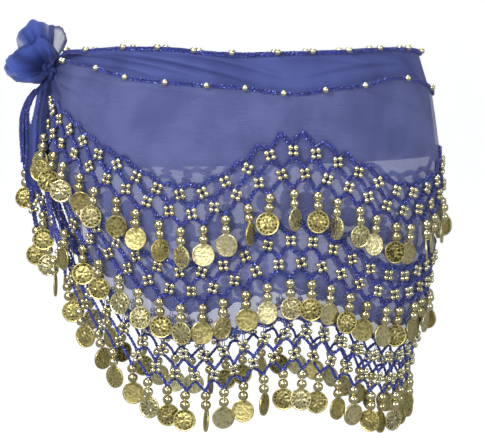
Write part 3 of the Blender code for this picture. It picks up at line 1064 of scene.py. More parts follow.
@dataclass
class RingLine:
    """A line round the ring given by ways, heights and distances out, walked in even steps."""

    ring: Ring
    way: np.ndarray
    height: np.ndarray
    out: np.ndarray
    pinched: bool = False

    def walk(self, step: float) -> tuple:
        """Walks the line in even steps.

        Args:
            step: The step (cm).

        Returns:
            The points on the way (m), and the outward directions there.
        """
        gone = gone_along(self.place(self.way, self.height, self.out))
        stops = np.linspace(0.0, gone[-1], max(4, round(gone[-1] / CM / step)))
        way, height, out = (np.interp(stops, gone, v) for v in (self.way, self.height, self.out))
        return self.place(way, height, out), self.ring.axes(way)[0]

    def place(self, way: np.ndarray, height: np.ndarray, out: np.ndarray) -> np.ndarray:
        """Returns the line's points (m), drawn in to the knot if it is a rim."""
        points = self.ring.place(way, height, out)
        return self.ring.pinch(points, way) if self.pinched else points


@dataclass
class Trimmings:
    """The small hard pieces, each modelled once: beads, the bead flower, the coin and its ring.

    The rings are the widths that the coin's faces are inset by, from the rim inwards. Each leaf is
    its middle on the face, its half length and half width, in coin radii, and its turn in radians.
    """

    large_bead_radius: float = 0.43
    pinched_ends: float = 0.1
    flower_bead_radius: float = 0.235
    flower_reach: float = 0.245
    coin_radius: float = 0.95
    coin_wall: float = 0.09
    coin_sides: int = 28
    front_rings: tuple = (0.06, 0.05, 0.04, 0.12, 0.04, 0.05, 0.1, 0.1, 0.1, 0.12)
    rear_rings: tuple = (0.08, 0.05, 0.4)
    rim_height: float = 0.035
    rim_start: float = 0.9
    band_height: float = 0.03
    band_reach: float = 0.64
    spray_height: float = 0.075
    dot_count: int = 16
    dot_radius: float = 0.08
    dot_reach: float = 0.77
    dot_flatness: float = 0.6
    sharp_angle: float = 32.0
    link_radius: float = 0.12
    link_wire: float = 0.03
    knot_radius: float = 0.2
    knot_squeeze: tuple = (1.0, 0.9, 0.62)
    knot_ridges: float = 0.16
    leaves: tuple = (
        (-0.05, 0.05, 0.4, 0.1, 1.2), (-0.27, 0.24, 0.2, 0.1, 2.4), (0.2, 0.3, 0.22, 0.11, 0.6),
        (-0.32, -0.12, 0.18, 0.1, 2.8), (0.28, 0.02, 0.2, 0.1, 0.2), (0.12, -0.33, 0.2, 0.1, -0.7),
        (-0.14, -0.4, 0.14, 0.09, 0.0), (0.02, 0.48, 0.13, 0.09, 1.6),
    )

    def __post_init__(self) -> None:
        """Models each template."""
        self.large_bead = self.make_large_bead()
        self.flower = self.make_flower()
        self.coin = self.make_coin()
        self.link = self.make_link()
        self.knot = self.make_knot()
        self.templates = [self.large_bead, self.flower, self.coin, self.link, self.knot]

    def make_large_bead(self) -> bpy.types.Object:
        """Models a round bead with pinched ends, threaded along Y.

        Returns:
            The bead.
        """
        bead = Bench.add(
            bpy.ops.mesh.primitive_uv_sphere_add, segments=14, ring_count=9,
            radius=self.large_bead_radius * CM, rotation=(math.pi / 2.0, 0.0, 0.0),
        )
        points = Bench.points(bead)
        reach = np.abs(points[:, 1]) / (self.large_bead_radius * CM)
        points[:, 1] *= 1.0 - self.pinched_ends * reach**6
        Bench.move_points(bead, points)
        Bench.smooth(bead)
        return bead

    def make_flower(self) -> bpy.types.Object:
        """Models four small beads in a square, facing Z.

        Returns:
            The flower.
        """
        reach = self.flower_reach * CM
        corners = ((-reach, -reach), (reach, -reach), (reach, reach), (-reach, reach))
        places = [Matrix.Translation((x, y, 0.0)) for x, y in corners]
        radius = self.flower_bead_radius * CM
        bead = Bench.add(bpy.ops.mesh.primitive_ico_sphere_add, subdivisions=2, radius=radius)
        Bench.smooth(bead)
        flower = Bench.repeat("flower_template", bead, places, np.zeros(len(places)))
        bpy.data.objects.remove(bead, do_unlink=True)
        return flower

    def make_coin(self) -> bpy.types.Object:
        """Models a stamped disc facing Z, with a raised rim, a ring of dots and a spray of leaves.

        Returns:
            The coin.
        """
        coin = Bench.add(bpy.ops.mesh.primitive_cylinder_add, vertices=self.coin_sides,
                         radius=self.coin_radius * CM, depth=self.coin_wall * CM)
        self.stamp_face(coin, 1.0, self.front_rings)
        self.stamp_face(coin, -1.0, self.rear_rings)
        points = Bench.points(coin)
        face = points[:, :2] / (self.coin_radius * CM)
        radius = np.hypot(face[:, 0], face[:, 1])
        rim = self.rim_height * soft_step((radius - self.rim_start) / 0.04)
        band = hill(radius - self.band_reach, 0.035)
        spray = self.spray(face) * soft_step((0.62 - radius) / 0.1)
        front = points[:, 2] > 0.0
        relief = rim + self.band_height * band + self.spray_height * spray
        points[:, 2] += np.where(front, relief, -rim * 0.7) * CM
        Bench.move_points(coin, points)
        raised = np.where(radius > 0.88, 1.0, band + spray)
        Bench.mark(coin, "relief", np.clip(np.where(front, raised, 0.8), 0.0, 1.0))
        coin = Bench.join("coin_template", [coin, self.make_dots()])
        Bench.lay_uv(coin, Bench.points(coin)[:, :2] / (self.coin_radius * CM))
        Bench.pick(coin)
        bpy.ops.object.shade_smooth_by_angle(angle=math.radians(self.sharp_angle))
        return coin

    def spray(self, face: np.ndarray) -> np.ndarray:
        """Works out the spray of leaves.

        Args:
            face: Places on the coin's face, in coin radii.

        Returns:
            The leaves' height at each place, from 0 to 1.
        """
        spray = np.zeros(len(face))
        for x, y, length, width, turn in self.leaves:
            aside, up = face[:, 0] - x, face[:, 1] - y
            run = aside * math.cos(turn) + up * math.sin(turn)
            across = up * math.cos(turn) - aside * math.sin(turn)
            spray = np.maximum(spray, hill(run, length) * hill(across, width))
        return spray

    def make_dots(self) -> bpy.types.Object:
        """Models the ring of dots on the coin's face.

        Returns:
            The dots.
        """
        dot = Bench.add(bpy.ops.mesh.primitive_ico_sphere_add, subdivisions=1, radius=self.dot_radius * CM,
                        scale=(1.0, 1.0, self.dot_flatness))
        Bench.mark(dot, "relief", np.ones(len(dot.data.vertices)))
        reach = self.dot_reach * self.coin_radius * CM
        lift = self.coin_wall / 2.0 * CM
        turns = [2.0 * math.pi * number / self.dot_count for number in range(self.dot_count)]
        places = [Matrix.Translation((reach * math.cos(t), reach * math.sin(t), lift)) for t in turns]
        dots = Bench.repeat("dots", dot, places, np.zeros(self.dot_count))
        bpy.data.objects.remove(dot, do_unlink=True)
        return dots

    def stamp_face(self, coin: bpy.types.Object, side: float, steps: tuple) -> None:
        """Insets one face of the coin into rings and closes its middle with a fan.

        Args:
            coin: The coin.
            side: 1 for the face towards +Z, -1 for the other.
            steps: The widths of the rings (cm), from the rim inwards.
        """
        flat = [face.normal.z * side > 0.9 and len(face.vertices) > 4 for face in coin.data.polygons]
        Bench.choose(coin, Part.FACE, flat)
        for step in steps:
            bpy.ops.mesh.inset(thickness=step * CM)
        bpy.ops.mesh.poke()
        bpy.ops.object.mode_set(mode="OBJECT")

    def make_link(self) -> bpy.types.Object:
        """Models the small ring between a bead and its coin, standing edge on to the coin.

        Returns:
            The link.
        """
        link = Bench.add(
            bpy.ops.mesh.primitive_torus_add, major_radius=self.link_radius * CM, major_segments=10,
            minor_radius=self.link_wire * CM, minor_segments=5, rotation=(0.0, math.pi / 2.0, 0.0),
        )
        Bench.smooth(link)
        return link

    def make_knot(self) -> bpy.types.Object:
        """Models a small crochet knot, facing Z.

        Returns:
            The knot.
        """
        knot = Bench.add(bpy.ops.mesh.primitive_ico_sphere_add, subdivisions=2, radius=self.knot_radius * CM)
        points = Bench.points(knot)
        twist = np.arctan2(points[:, 1], points[:, 0])
        points *= (1.0 + self.knot_ridges * np.sin(4.0 * twist + points[:, 2] / CM * 20.0))[:, None]
        Bench.move_points(knot, points * np.array(self.knot_squeeze))
        Bench.smooth(knot)
        return knot


@dataclass
class Drops:
    """A row of drops, each of two large beads, a link and a coin, at heights (cm) under the chain."""

    BEAD_RISES = (-0.37, -1.17)
    LINK_RISE = -1.58
    COIN_RISE = -2.48

    beads: list = field(default_factory=list)
    links: list = field(default_factory=list)
    coins: list = field(default_factory=list)

    def make(
        self, trimmings: Trimmings, finishes: Finishes, names: tuple, node: str, shades: np.ndarray,
    ) -> None:
        """Builds and dresses the drops.

        Args:
            trimmings: The templates.
            finishes: The scarf's materials.
            names: The names of the coins and of the beads.
            node: The CAD node that they stand for.
            shades: How worn each drop is; on a few coins by the knot a low shade is a painted highlight.
        """
        coins = Bench.repeat(names[0], trimmings.coin, self.coins, shades)
        Bench.settle(coins, finishes.coin, Slot.METAL, node)
        beads = Bench.repeat(names[1], trimmings.large_bead, self.beads, np.repeat(shades, 2))
        links = Bench.repeat("links", trimmings.link, self.links, shades)
        Bench.settle(Bench.join(names[1], [beads, links]), finishes.bead, Slot.METAL)


@dataclass
class NetBand:
    """Half of a net: three crochet chains, two rows of bead flowers and a row of coin drops."""

    ring: Ring
    half: Half
    number: str
    line: Line
    first: float
    lift: float
    depths: tuple
    turns: tuple
    plait: Plait
    seed: int
    pitch: float = 1.926
    slope_weight: float = 0.36
    slope_reach: float = 0.2
    opening: tuple = (0.88, 1.06)
    top_high: tuple = (0.75, 1.5)
    top_low: float = 0.5
    hem_lap: float = 0.3
    hem_dip: float = 0.45
    crowded_way: float = 11.5
    crowded_fade: float = 2.0
    net_out: float = 0.135
    lower_flowers: float = -1.75
    flower_out: float = 0.3
    backing_out: float = 0.12
    backing_size: float = 0.9
    flower_spin: float = 28.0
    flower_turn: float = 12.0
    knot_lift: float = 0.03
    thread_radius: float = 0.035
    thread_spread: float = 0.14
    thread_least: float = 0.57
    thread_foot: float = 0.38
    thread_lift: float = 0.12
    walk_step: float = 0.07
    unevenness: float = 0.11
    roundings: tuple = (0.3, 0.75, 0.85)
    drop_lift: float = 0.16
    top_swing: float = 0.045
    turned_out: float = 0.42
    sway: float = 0.24
    bead_outs: tuple = (0.8, 1.0)
    bead_drifts: tuple = (0.25, 0.5)
    link_drift: float = 0.7
    nod: float = 7.0
    hidden_share: float = 0.4
    # Share of their shade kept by the first three coins of the upper band: a painted highlight that plates
    # them bright, as if they catch the light.
    first_coins_lit: float = 0.2
    knot_turn: float = 62.0
    knot_reach: float = 13.0
    ways: list = field(default_factory=list)

    def __post_init__(self) -> None:
        """Works out the ways of the half cells from the far hip back to the knot."""
        ways = [self.ring.far_hip]
        while ways[-1] > self.first:
            here = ways[-1]
            rise = self.ring.line(self.line, here + self.slope_reach)
            slope = (rise - self.ring.line(self.line, here - self.slope_reach)) / (2.0 * self.slope_reach)
            ways.append(here - self.pitch / 2.0 / math.sqrt(1.0 + self.slope_weight * float(slope) ** 2))
        del ways[-1 if len(ways) % 2 == 0 else -2:]
        self.ways = ways
        self.chance = np.random.default_rng(self.seed)

    def side(self, way: object) -> object:
        """Returns a way of the front as it lies on this half."""
        return self.ring.side(way, self.half)

    def height(self, way: object, rise: object) -> np.ndarray:
        """Finds heights in the net.

        Args:
            way: Ways round (cm).
            rise: How far over the upper flowers (cm), in an opened net.

        Returns:
            The heights (cm) there.
        """
        closed, opened = self.opening
        spread = 1.0 if self.line is Line.BAND_3 else self.ring.line(Line.SPREAD, way)
        stretch = np.where(np.asarray(rise) < 0.0, closed + (opened - closed) * spread, 1.0)
        return self.ring.line(self.line, way) + rise * stretch

    def crowding(self, way: object) -> np.ndarray:
        """Returns 0 round most of the ring and 1 where the bands crowd together at the knot."""
        return soft_step((self.crowded_way - np.asarray(way)) / self.crowded_fade)

    def top_rise(self, index: int) -> float:
        """Finds the top chain at a half cell.

        Args:
            index: The half cell's number.

        Returns:
            The chain's height (cm) over the upper flowers.
        """
        way = self.ways[index]
        if self.line is Line.BAND_3:
            over = float(self.ring.line(Line.HEM, way) - self.ring.line(self.line, way)) + self.hem_lap
            return over - (self.hem_dip if index % 2 == 0 else 0.0)
        closed, opened = self.top_high
        high = closed + (opened - closed) * float(self.ring.line(Line.SPREAD, way))
        return self.top_low if index % 2 == 0 else high

    def chain(self, rises: list, rounded: float) -> tuple:
        """Walks a chain, sharp at its low points.

        Args:
            rises: Its height (cm) over the upper flowers at each half cell.
            rounded: How much its high points are rounded off, from 0 to 1.

        Returns:
            Its points and the outward directions there.
        """
        places = np.arange(0.0, len(self.ways) - 1.0, self.walk_step)
        cell = places.astype(int)
        share = places - cell
        rises = np.array(rises)
        climbs = rises[cell + 1] > rises[cell]
        arc = np.where(climbs, np.sin(share * math.pi / 2.0), 1.0 - np.cos(share * math.pi / 2.0))
        share = share + (arc - share) * rounded
        rise = rises[cell] + (rises[cell + 1] - rises[cell]) * share
        way = np.interp(places, np.arange(len(self.ways)), self.ways)
        uneven = self.chance.normal(0.0, self.unevenness, len(self.ways) + 1)
        sag = np.sin(math.pi * (places - cell)) * uneven[cell]
        wobble = sag + 0.035 * np.sin(places * 5.3 + self.seed) + 0.02 * np.sin(places * 12.1)
        out = self.net_out + self.lift * self.crowding(way)
        line = RingLine(self.ring, self.side(way), self.height(way, rise) + wobble, out)
        return line.walk(self.plait.step)

    def knots(self, rises: list, which: int) -> list:
        """Places the knots of a chain.

        Args:
            rises: The chain's height (cm) over the upper flowers at each half cell.
            which: 0 or 1, the first of the half cells that have a knot.

        Returns:
            A matrix for each knot.
        """
        places = []
        for index in range(which, len(self.ways), 2):
            way = self.ways[index]
            out = self.net_out + self.lift * float(self.crowding(way)) + self.knot_lift
            spin = float(self.chance.uniform(0.0, 90.0))
            places.append(self.ring.stand(self.side(way), float(self.height(way, rises[index])), out, spin))
        return places

    def make_chains(self, trimmings: Trimmings, yarn: bpy.types.Material) -> None:
        """Builds the three chains with their knots and the threads that carry the flowers.

        Args:
            trimmings: The templates.
            yarn: The yarn's material.
        """
        count = len(self.ways)
        tops = [self.top_rise(index) for index in range(count)]
        rows = [tops] + [[chain.value[index % 2] for index in range(count)] for chain in Chain]
        paths = []
        top = replace(self.plait, swing=self.plait.swing + self.top_swing)
        for rises, plait, rounded in zip(rows, (top, self.plait, self.plait), self.roundings):
            points, outward = self.chain(rises, rounded)
            paths += plait.paths(points, outward, self.chance)
        net = Bench.tubes(f"crochet_{self.number}_{self.half.value}", paths, self.plait.strand)
        places = self.knots(tops, 1) + self.knots(rows[1], 1) + self.knots(rows[2], 0)
        backing = Matrix.Scale(self.backing_size, 4)
        places += [place @ backing for place in self.flower_places(self.backing_out)]
        pieces = [net, Bench.repeat("knots", trimmings.knot, places, np.zeros(len(places)))]
        threads = self.threads(tops)
        if threads:
            pieces.append(Bench.tubes("threads", threads, self.thread_radius))
        net = Bench.join(net.name, pieces)
        Bench.settle(net, yarn, Slot.BRAID, f"net_{self.number}_{self.half.value}")

    def threads(self, tops: list) -> list:
        """Runs short pairs of threads from the top chain to the upper flowers, where they part.

        Args:
            tops: The top chain's height (cm) over the upper flowers at each half cell.

        Returns:
            The points of each thread.
        """
        made = []
        for index in range(0, len(self.ways), 2):
            way = self.ways[index]
            if tops[index] < self.thread_least:
                continue
            for aside in (-self.thread_spread, self.thread_spread):
                ways = np.linspace(way + aside * 0.3, way + aside, 4)
                rise = np.linspace(tops[index], self.thread_foot, 4)
                out = self.net_out + self.lift * self.crowding(ways) + np.linspace(0.0, self.thread_lift, 4)
                made.append(self.ring.place(self.side(ways), self.ring.line(self.line, way) + rise, out))
        return made

    def flower_places(self, base: float) -> list:
        """Places the bead flowers, by turns high and low.

        Args:
            base: Their distance out (cm).

        Returns:
            A matrix for each flower.
        """
        places = []
        for index, way in enumerate(self.ways):
            rise = 0.0 if index % 2 == 0 else self.lower_flowers
            out = base + self.lift * float(self.crowding(way))
            spin = float(self.chance.uniform(-self.flower_spin, self.flower_spin))
            turn = float(self.chance.uniform(-self.flower_turn, self.flower_turn))
            places.append(self.ring.stand(self.side(way), float(self.height(way, rise)), out, spin, turn))
        return places

    def make_flowers(self, trimmings: Trimmings, finish: bpy.types.Material) -> None:
        """Sets a bead flower at every half cell, by turns in the upper and the lower row.

        Args:
            trimmings: The templates.
            finish: The flowers' material.
        """
        places = self.flower_places(self.flower_out)
        shades = self.chance.uniform(0.0, 1.0, len(places))
        name = f"flowers_{self.number}_{self.half.value}"
        Bench.settle(Bench.repeat(name, trimmings.flower, places, shades), finish, Slot.METAL)

    def make_drops(self, trimmings: Trimmings, finishes: Finishes) -> None:
        """Hangs two beads and a coin from every low point of the lowest chain.

        Args:
            trimmings: The templates.
            finishes: The scarf's materials.
        """
        drops = Drops()
        for number, index in enumerate(range(0, len(self.ways), 2)):
            way = self.ways[index]
            low = float(self.height(way, Chain.LOWEST.value[0]))
            out = self.depths[number % 2] + self.drop_lift * float(self.crowding(way))
            sway = float(self.chance.uniform(-self.sway, self.sway))
            for share, drift, rise in zip(self.bead_outs, self.bead_drifts, Drops.BEAD_RISES):
                depth = self.net_out + (out - self.net_out) * share
                drops.beads.append(self.ring.stand(self.side(way + drift * sway), low + rise, depth))
            own_turn = self.turns[number % len(self.turns)]
            turn = own_turn + self.knot_turn * max(0.0, 1.0 - way / self.knot_reach)
            turn = -turn if self.half is Half.BACK else turn
            spin = float(self.chance.uniform(-180.0, 180.0))
            rear_face = self.chance.uniform() < self.hidden_share and abs(turn) < 30.0
            if self.line is not Line.BAND_3:
                out += self.turned_out * abs(math.sin(math.radians(own_turn)))
            link_way, coin_way = self.side(way + self.link_drift * sway), self.side(way + sway)
            drops.links.append(self.ring.stand(link_way, low + Drops.LINK_RISE, out, 0.0, turn))
            nod = Matrix.Rotation(math.radians(float(self.chance.uniform(-self.nod, self.nod))), 4, "X")
            turn += 180.0 if rear_face else 0.0
            stand = self.ring.stand(coin_way, low + Drops.COIN_RISE, out, 0.0, turn)
            drops.coins.append(stand @ nod @ Matrix.Rotation(math.radians(spin), 4, "Z"))
        shades = self.chance.uniform(0.0, 1.0, len(drops.coins))
        # Painted highlight: the first coins by the knot get low shades, so they come out bright as if lit.
        if self.line is Line.BAND_1:
            shades[:3] *= self.first_coins_lit
        name = f"{self.number}_{self.half.value}"
        names = (f"stamped_coins_{name}", f"drop_beads_{name}")
        drops.make(trimmings, finishes, names, f"coins_{name}", shades)

    def make(self, trimmings: Trimmings, finishes: Finishes) -> None:
        """Builds the whole half band.

        Args:
            trimmings: The templates.
            finishes: The scarf's materials.
        """
        self.make_chains(trimmings, finishes.yarn)
        self.make_flowers(trimmings, finishes.flower)
        self.make_drops(trimmings, finishes)


@dataclass
class SideCords:
    """Crochet cords that are drawn together at the knot and fan out down one half's side."""

    ring: Ring
    half: Half
    seed: int
    out: float = 0.12
    out_step: float = 0.1
    sag: float = 0.35
    plait: Plait = Plait(0.13, 0.06, 0.085, 1.05, 0.17)
    cords: tuple = (
        ((0.4, -9.6), (3.6, -14.8)),
        ((1.0, -9.8), (4.5, -15.8)),
        ((1.7, -10.4), (5.3, -17.0)),
        ((0.5, -11.6), (2.4, -16.2)),
        ((2.4, -11.6), (6.6, -19.0)),
        ((3.2, -12.8), (8.0, -21.0)),
        ((1.3, -12.4), (5.6, -18.6)),
    )

    def make(self, finish: bpy.types.Material) -> None:
        """Builds and dresses the cords.

        Args:
            finish: Their material.
        """
        chance = np.random.default_rng(self.seed)
        paths = []
        for number, (start, end) in enumerate(self.cords):
            share = np.linspace(0.0, 1.0, int(math.dist(start, end) / self.plait.step))
            way = start[0] + (end[0] - start[0]) * share - self.sag * np.sin(math.pi * share)
            way = self.ring.side(way, self.half)
            height = start[1] + (end[1] - start[1]) * share
            points = self.ring.place(way, height, self.out + self.out_step * (number % 3))
            paths += self.plait.paths(points, self.ring.axes(way)[0], chance)
        piece = Bench.tubes(f"side_cords_{self.half.value}", paths, self.plait.strand)
        Bench.settle(piece, finish, Slot.BRAID)


@dataclass
class Edging:
    """The crochet edging of a rim, with single beads set along it."""

    ring: Ring
    half: Half
    node: str
    line: Line
    out: float
    bead_ways: tuple
    seed: int
    plait: Plait = Plait(0.14, 0.07, 0.08, 1.05)
    drop: float = 0.15
    bead_rise: float = 0.0
    bead_out: float = 0.16
    bead_scale: float = 0.68
    bead_wear: float = 0.6
    first: float = 0.35
    far_gap: float = 0.03

    def make(self, trimmings: Trimmings, finishes: Finishes) -> None:
        """Builds the edging and its beads.

        Args:
            trimmings: The templates.
            finishes: The scarf's materials.
        """
        chance = np.random.default_rng(self.seed)
        way = np.linspace(self.first, self.ring.far_hip - self.far_gap, 300)
        height = self.ring.line(self.line, way) - self.drop
        place = self.ring.side(way, self.half)
        line = RingLine(self.ring, place, height, np.full_like(way, self.out), True)
        points, outward = line.walk(self.plait.step)
        name = f"{self.node}_{self.half.value}"
        braid = Bench.tubes(f"{name}_braid", self.plait.paths(points, outward, chance), self.plait.strand)
        Bench.settle(braid, finishes.yarn, Slot.BRAID, name)
        places = []
        for bead_way in self.bead_ways:
            rise = float(self.ring.line(self.line, bead_way)) - self.drop + self.bead_rise
            stand = self.ring.stand(self.ring.side(bead_way, self.half), rise, self.out + self.bead_out)
            places.append(stand @ Matrix.Scale(self.bead_scale, 4))
        shades = chance.uniform(0.0, self.bead_wear, len(places))
        beads = Bench.repeat(f"{name}_beads", trimmings.large_bead, places, shades)
        Bench.settle(beads, finishes.flower, Slot.METAL)


@dataclass
class BowLoop:
    """A band of cloth that fans out from the knot, folds over at its reach and comes back behind."""

    node: str
    front: float
    back: float
    pleats: float
    reaches: tuple
    solid: bool = True
    knot: tuple = KNOT_PLACE
    root: float = 0.94
    mouth: float = 0.25
    pleat: float = 0.22
    fine_pleats: float = 4.5
    fine_depth: float = 0.12
    crumple: float = 0.28
    folds: float = 3.4
    rim: float = 0.0
    ragged: float = 0.07
    thin: tuple = ()
    flat_width: float = 7.0
    flat_length: float = 9.0
    # The reach and fade (cm) of the painted shade where the loop gathers into the knot.
    dark_reach: float = 2.1
    dark_fade: float = 1.1
    turn_width: float = 0.13
    columns: int = 96
    rows: int = 80
    hem_width: float = 0.05

    def shape(self, across: np.ndarray, t: np.ndarray) -> tuple:
        """Folds the band of cloth.

        Args:
            across: Places across the band, from 0 to 1.
            t: Places along it, 0 and 1 at the knot.

        Returns:
            The points (cm), their directions from the knot (degrees), their distances from it (cm) and
            as shares of the loop's reach, and how far each lies on the crest of a small crinkle, whose
            troughs get painted shade.
        """
        turns, reaches = np.array(self.reaches, float).T
        marks = np.linspace(0.0, 1.0, len(turns))
        turn = np.interp(across, marks, turns)
        reach = self.soft_reach(across, marks, reaches)
        swell = np.sin(math.pi * t)
        bulge = np.where(t < 0.5, self.front, -self.back) * np.sin(2.0 * math.pi * t)
        pleat = self.pleat * swell * np.cos(self.pleats * math.pi * across * (1.0 - 1.0 / len(turns)))
        fine = self.fine_depth * swell * np.sin(self.fine_pleats * 2.0 * math.pi * across + 2.0 * t)
        folds = np.sin(self.folds * 2.0 * math.pi * across + 1.6 * np.sin(5.0 * across) + 1.2 * t)
        folds = 0.65 * folds + 0.35 * np.sin(self.folds * 4.6 * math.pi * across - 1.5 * t + 1.0)
        depth = bulge + pleat + fine + self.crumple * swell * folds - self.mouth * np.cos(math.pi * t)
        ragged = np.sin(31.0 * across + 1.0) + 0.7 * np.sin(53.0 * across + 2.0)
        radius = self.root + swell * (reach - self.root + 0.1 * folds + self.ragged * ragged)
        angle = np.radians(turn)
        points = np.stack((radius * np.cos(angle), depth, radius * np.sin(angle)), axis=-1)
        return points + np.array(self.knot), turn, radius, radius / reach, folds

    def make(self, finish: bpy.types.Material, slot: Slot) -> bpy.types.Object:
        """Builds and dresses the loop.

        Args:
            finish: Its material.
            slot: The slot handed on to Bench.settle.

        Returns:
            The loop.
        """
        piece = Bench.grid(f"{self.node}_shell", self.columns, self.rows)
        share = Bench.points(piece) + 0.5
        across, t = share[:, 0], share[:, 1]
        points, turn, radius, reached, folds = self.shape(across, t)
        Bench.move_points(piece, points * CM)
        Bench.lay_uv(piece, np.stack((across * self.flat_width, t * self.flat_length), axis=-1))
        hem = 1.0 - soft_step(np.minimum(across, 1.0 - across) / self.hem_width)
        Bench.mark(piece, "hem", hem)
        thin = sum((hill(turn - spot, wide) for spot, wide in self.thin), 0.0 * across)
        outside = soft_step((reached - 0.55) / 0.3)
        Bench.mark(piece, "thin", np.clip(thin, 0.0, 1.0) * outside * (1.0 - hem))
        # Painted shade at the root by the knot and in the troughs of the crinkles; a loop with a rim gets its
        # turned edge marked dense and dark as cloth seen edge-on.
        root = soft_step((self.dark_reach - radius) / self.dark_fade)
        dark = root + 0.6 * soft_step(-folds) * (1.0 - root)
        outer = np.maximum(hem, np.exp(-(((t - 0.5) / self.turn_width) ** 4)))
        Bench.mark(piece, "fold", np.clip(np.maximum(dark * (1.0 - self.rim), self.rim * outer), 0.0, 1.0))
        Bench.smooth(piece)
        Bench.settle(piece, finish, slot, *((self.node,) if self.solid else ()))
        return piece

    @staticmethod
    def soft_reach(across: np.ndarray, marks: np.ndarray, reaches: np.ndarray) -> np.ndarray:
        """Draws a curve through the loop's reaches.

        Args:
            across: Places across the loop, from 0 to 1.
            marks: The places whose reach is given.
            reaches: The reaches there (cm).

        Returns:
            The loop's reach (cm) at each place.
        """
        step = marks[1] - marks[0]
        soft = sum(np.interp(across + shift * step, marks, reaches) for shift in (-0.25, 0.0, 0.25))
        return soft / 3.0


@dataclass
class Knot:
    """The tied knot: a lump of cloth with creases that run towards its middle."""

    place: tuple = KNOT_PLACE
    radii: tuple = (0.901, 1.378, 0.901)
    pleats: int = 5
    depth: float = 0.1
    dimple: float = 0.35

    def make(self, finish: bpy.types.Material) -> None:
        """Builds and dresses the knot.

        Args:
            finish: Its material.
        """
        piece = Bench.add(bpy.ops.mesh.primitive_ico_sphere_add, subdivisions=5, radius=1.0)
        piece.name = "knot_cloth"
        points = Bench.points(piece)
        turn = np.arctan2(points[:, 2], points[:, 0])
        ring = np.hypot(points[:, 0], points[:, 2])
        swirl = self.pleats * turn + 4.5 * ring + 2.0 * points[:, 1]
        pleat = 1.0 + self.depth * ring * (np.sin(swirl) + 0.4 * np.sin(2.0 * swirl + 1.0))
        pleat -= self.dimple * hill(ring, self.dimple)
        points = points * pleat[:, None] * np.array(self.radii) + np.array(self.place)
        # Painted shade over the whole knot, deepest in the troughs of its pleats.
        Bench.mark(piece, "fold", 0.6 + 0.4 * soft_step(0.5 - 0.5 * np.sin(swirl)))
        Bench.move_points(piece, points * CM)
        Bench.smooth(piece)
        Bench.settle(piece, finish, Slot.DOUBLED, "knot")


@dataclass
class Tail:
    """A pleated end that hangs from the knot; its sections are height, middle, half width, depth."""

    node: str
    sections: tuple
    pleats: float
    pleat_depth: float = 0.1
    columns: int = 40
    rows: int = 90
    hem_width: float = 0.1
    slit: tuple = ()
    pleat_shade: float = 0.45
    dark_side: float = 0.12
    edgings: tuple = (-0.98, -0.12)
    edging_lift: float = 0.05
    edging_start: float = 0.8
    braid: Plait = Plait(0.075, 0.04, 0.055, 0.7, 0.1, 0.01)

    def make(self, finish: bpy.types.Material) -> bpy.types.Object:
        """Builds and dresses the tail.

        Args:
            finish: Its material.

        Returns:
            The tail.
        """
        piece = Bench.grid(f"{self.node}_shell", self.columns, self.rows)
        share = Bench.points(piece) + 0.5
        low, high = self.sections[-1][0], self.sections[0][0]
        height = low + (high - low) * share[:, 1]
        side = share[:, 0] * 2.0 - 1.0
        points, wave = self.surface(side, height)
        Bench.move_points(piece, points * CM)
        Bench.lay_uv(piece, np.stack((side, height), axis=-1))
        Bench.mark(piece, "hem", 1.0 - soft_step((1.0 - np.abs(side)) / self.hem_width))
        # Painted shade in the set-back troughs of the pleats, and darker towards the side nearest the ring.
        dark = self.pleat_shade * soft_step(0.5 + 0.5 * wave) + soft_step((side - self.dark_side) / 0.3)
        Bench.mark(piece, "fold", np.clip(dark, 0.0, 1.0))
        if self.slit:
            self.open_slit(piece, side, height)
        Bench.smooth(piece)
        Bench.settle(piece, finish, Slot.CHIFFON, self.node)
        return piece

    def surface(self, side: np.ndarray, height: np.ndarray) -> tuple:
        """Finds points of the tail.

        Args:
            side: Their places across it, from -1 to 1.
            height: Their heights (cm).

        Returns:
            The points (cm), and how far forward each lies on its pleat.
        """
        table = np.array(self.sections[::-1], float)
        soft = [np.interp(height + shift, table[:, 0], table[:, 1:].T[k])
                for k in range(3) for shift in (-0.6, -0.3, 0.0, 0.3, 0.6)]
        middle, half, depth = np.array(soft).reshape(3, 5, -1).mean(axis=1)
        wave = np.cos(self.pleats * math.pi * side + 0.25 * height) + 0.5 * np.sin(9.0 * side + 0.5 * height)
        across = middle + side * half + 0.05 * np.sin(1.3 * height) * np.abs(side)
        return np.stack((across, depth + self.pleat_depth * wave, height), axis=-1), wave

    def make_edging(self, finish: bpy.types.Material) -> None:
        """Builds and dresses the fine braids along the tail.

        Args:
            finish: Their material.
        """
        chance = np.random.default_rng(60 + len(self.node))
        top, foot = self.sections[0][0] - self.edging_start, self.sections[-1][0]
        height = np.linspace(top, foot, self.rows)
        paths = []
        for side in self.edgings:
            line, _ = self.surface(np.full(len(height), side), height)
            line[:, 1] -= self.edging_lift
            outward = np.tile(FORWARD, (len(height), 1))
            paths += self.braid.paths(line * CM, outward, chance)
        piece = Bench.tubes(f"{self.node}_braids", paths, self.braid.strand)
        Bench.settle(piece, finish, Slot.BRAID)

    def open_slit(self, piece: bpy.types.Object, side: np.ndarray, height: np.ndarray) -> None:
        """Parts the tail's two plies along a narrow gap.

        Args:
            piece: The tail's grid.
            side: The points' places across it, from -1 to 1.
            height: The points' heights (cm).
        """
        middle, half_width, low, high = self.slit
        run = np.clip((height - low) / (high - low), 0.0, 1.0)
        open_here = np.abs(side - middle) < half_width * np.sin(math.pi * run)
        Bench.choose(piece, Part.VERT, open_here)
        bpy.ops.mesh.delete(type="VERT")
        bpy.ops.object.mode_set(mode="OBJECT")

    def length(self) -> float:
        """Returns the length (m) of the cut strip."""
        return float(np.ptp([section[0] for section in self.sections])) * CM


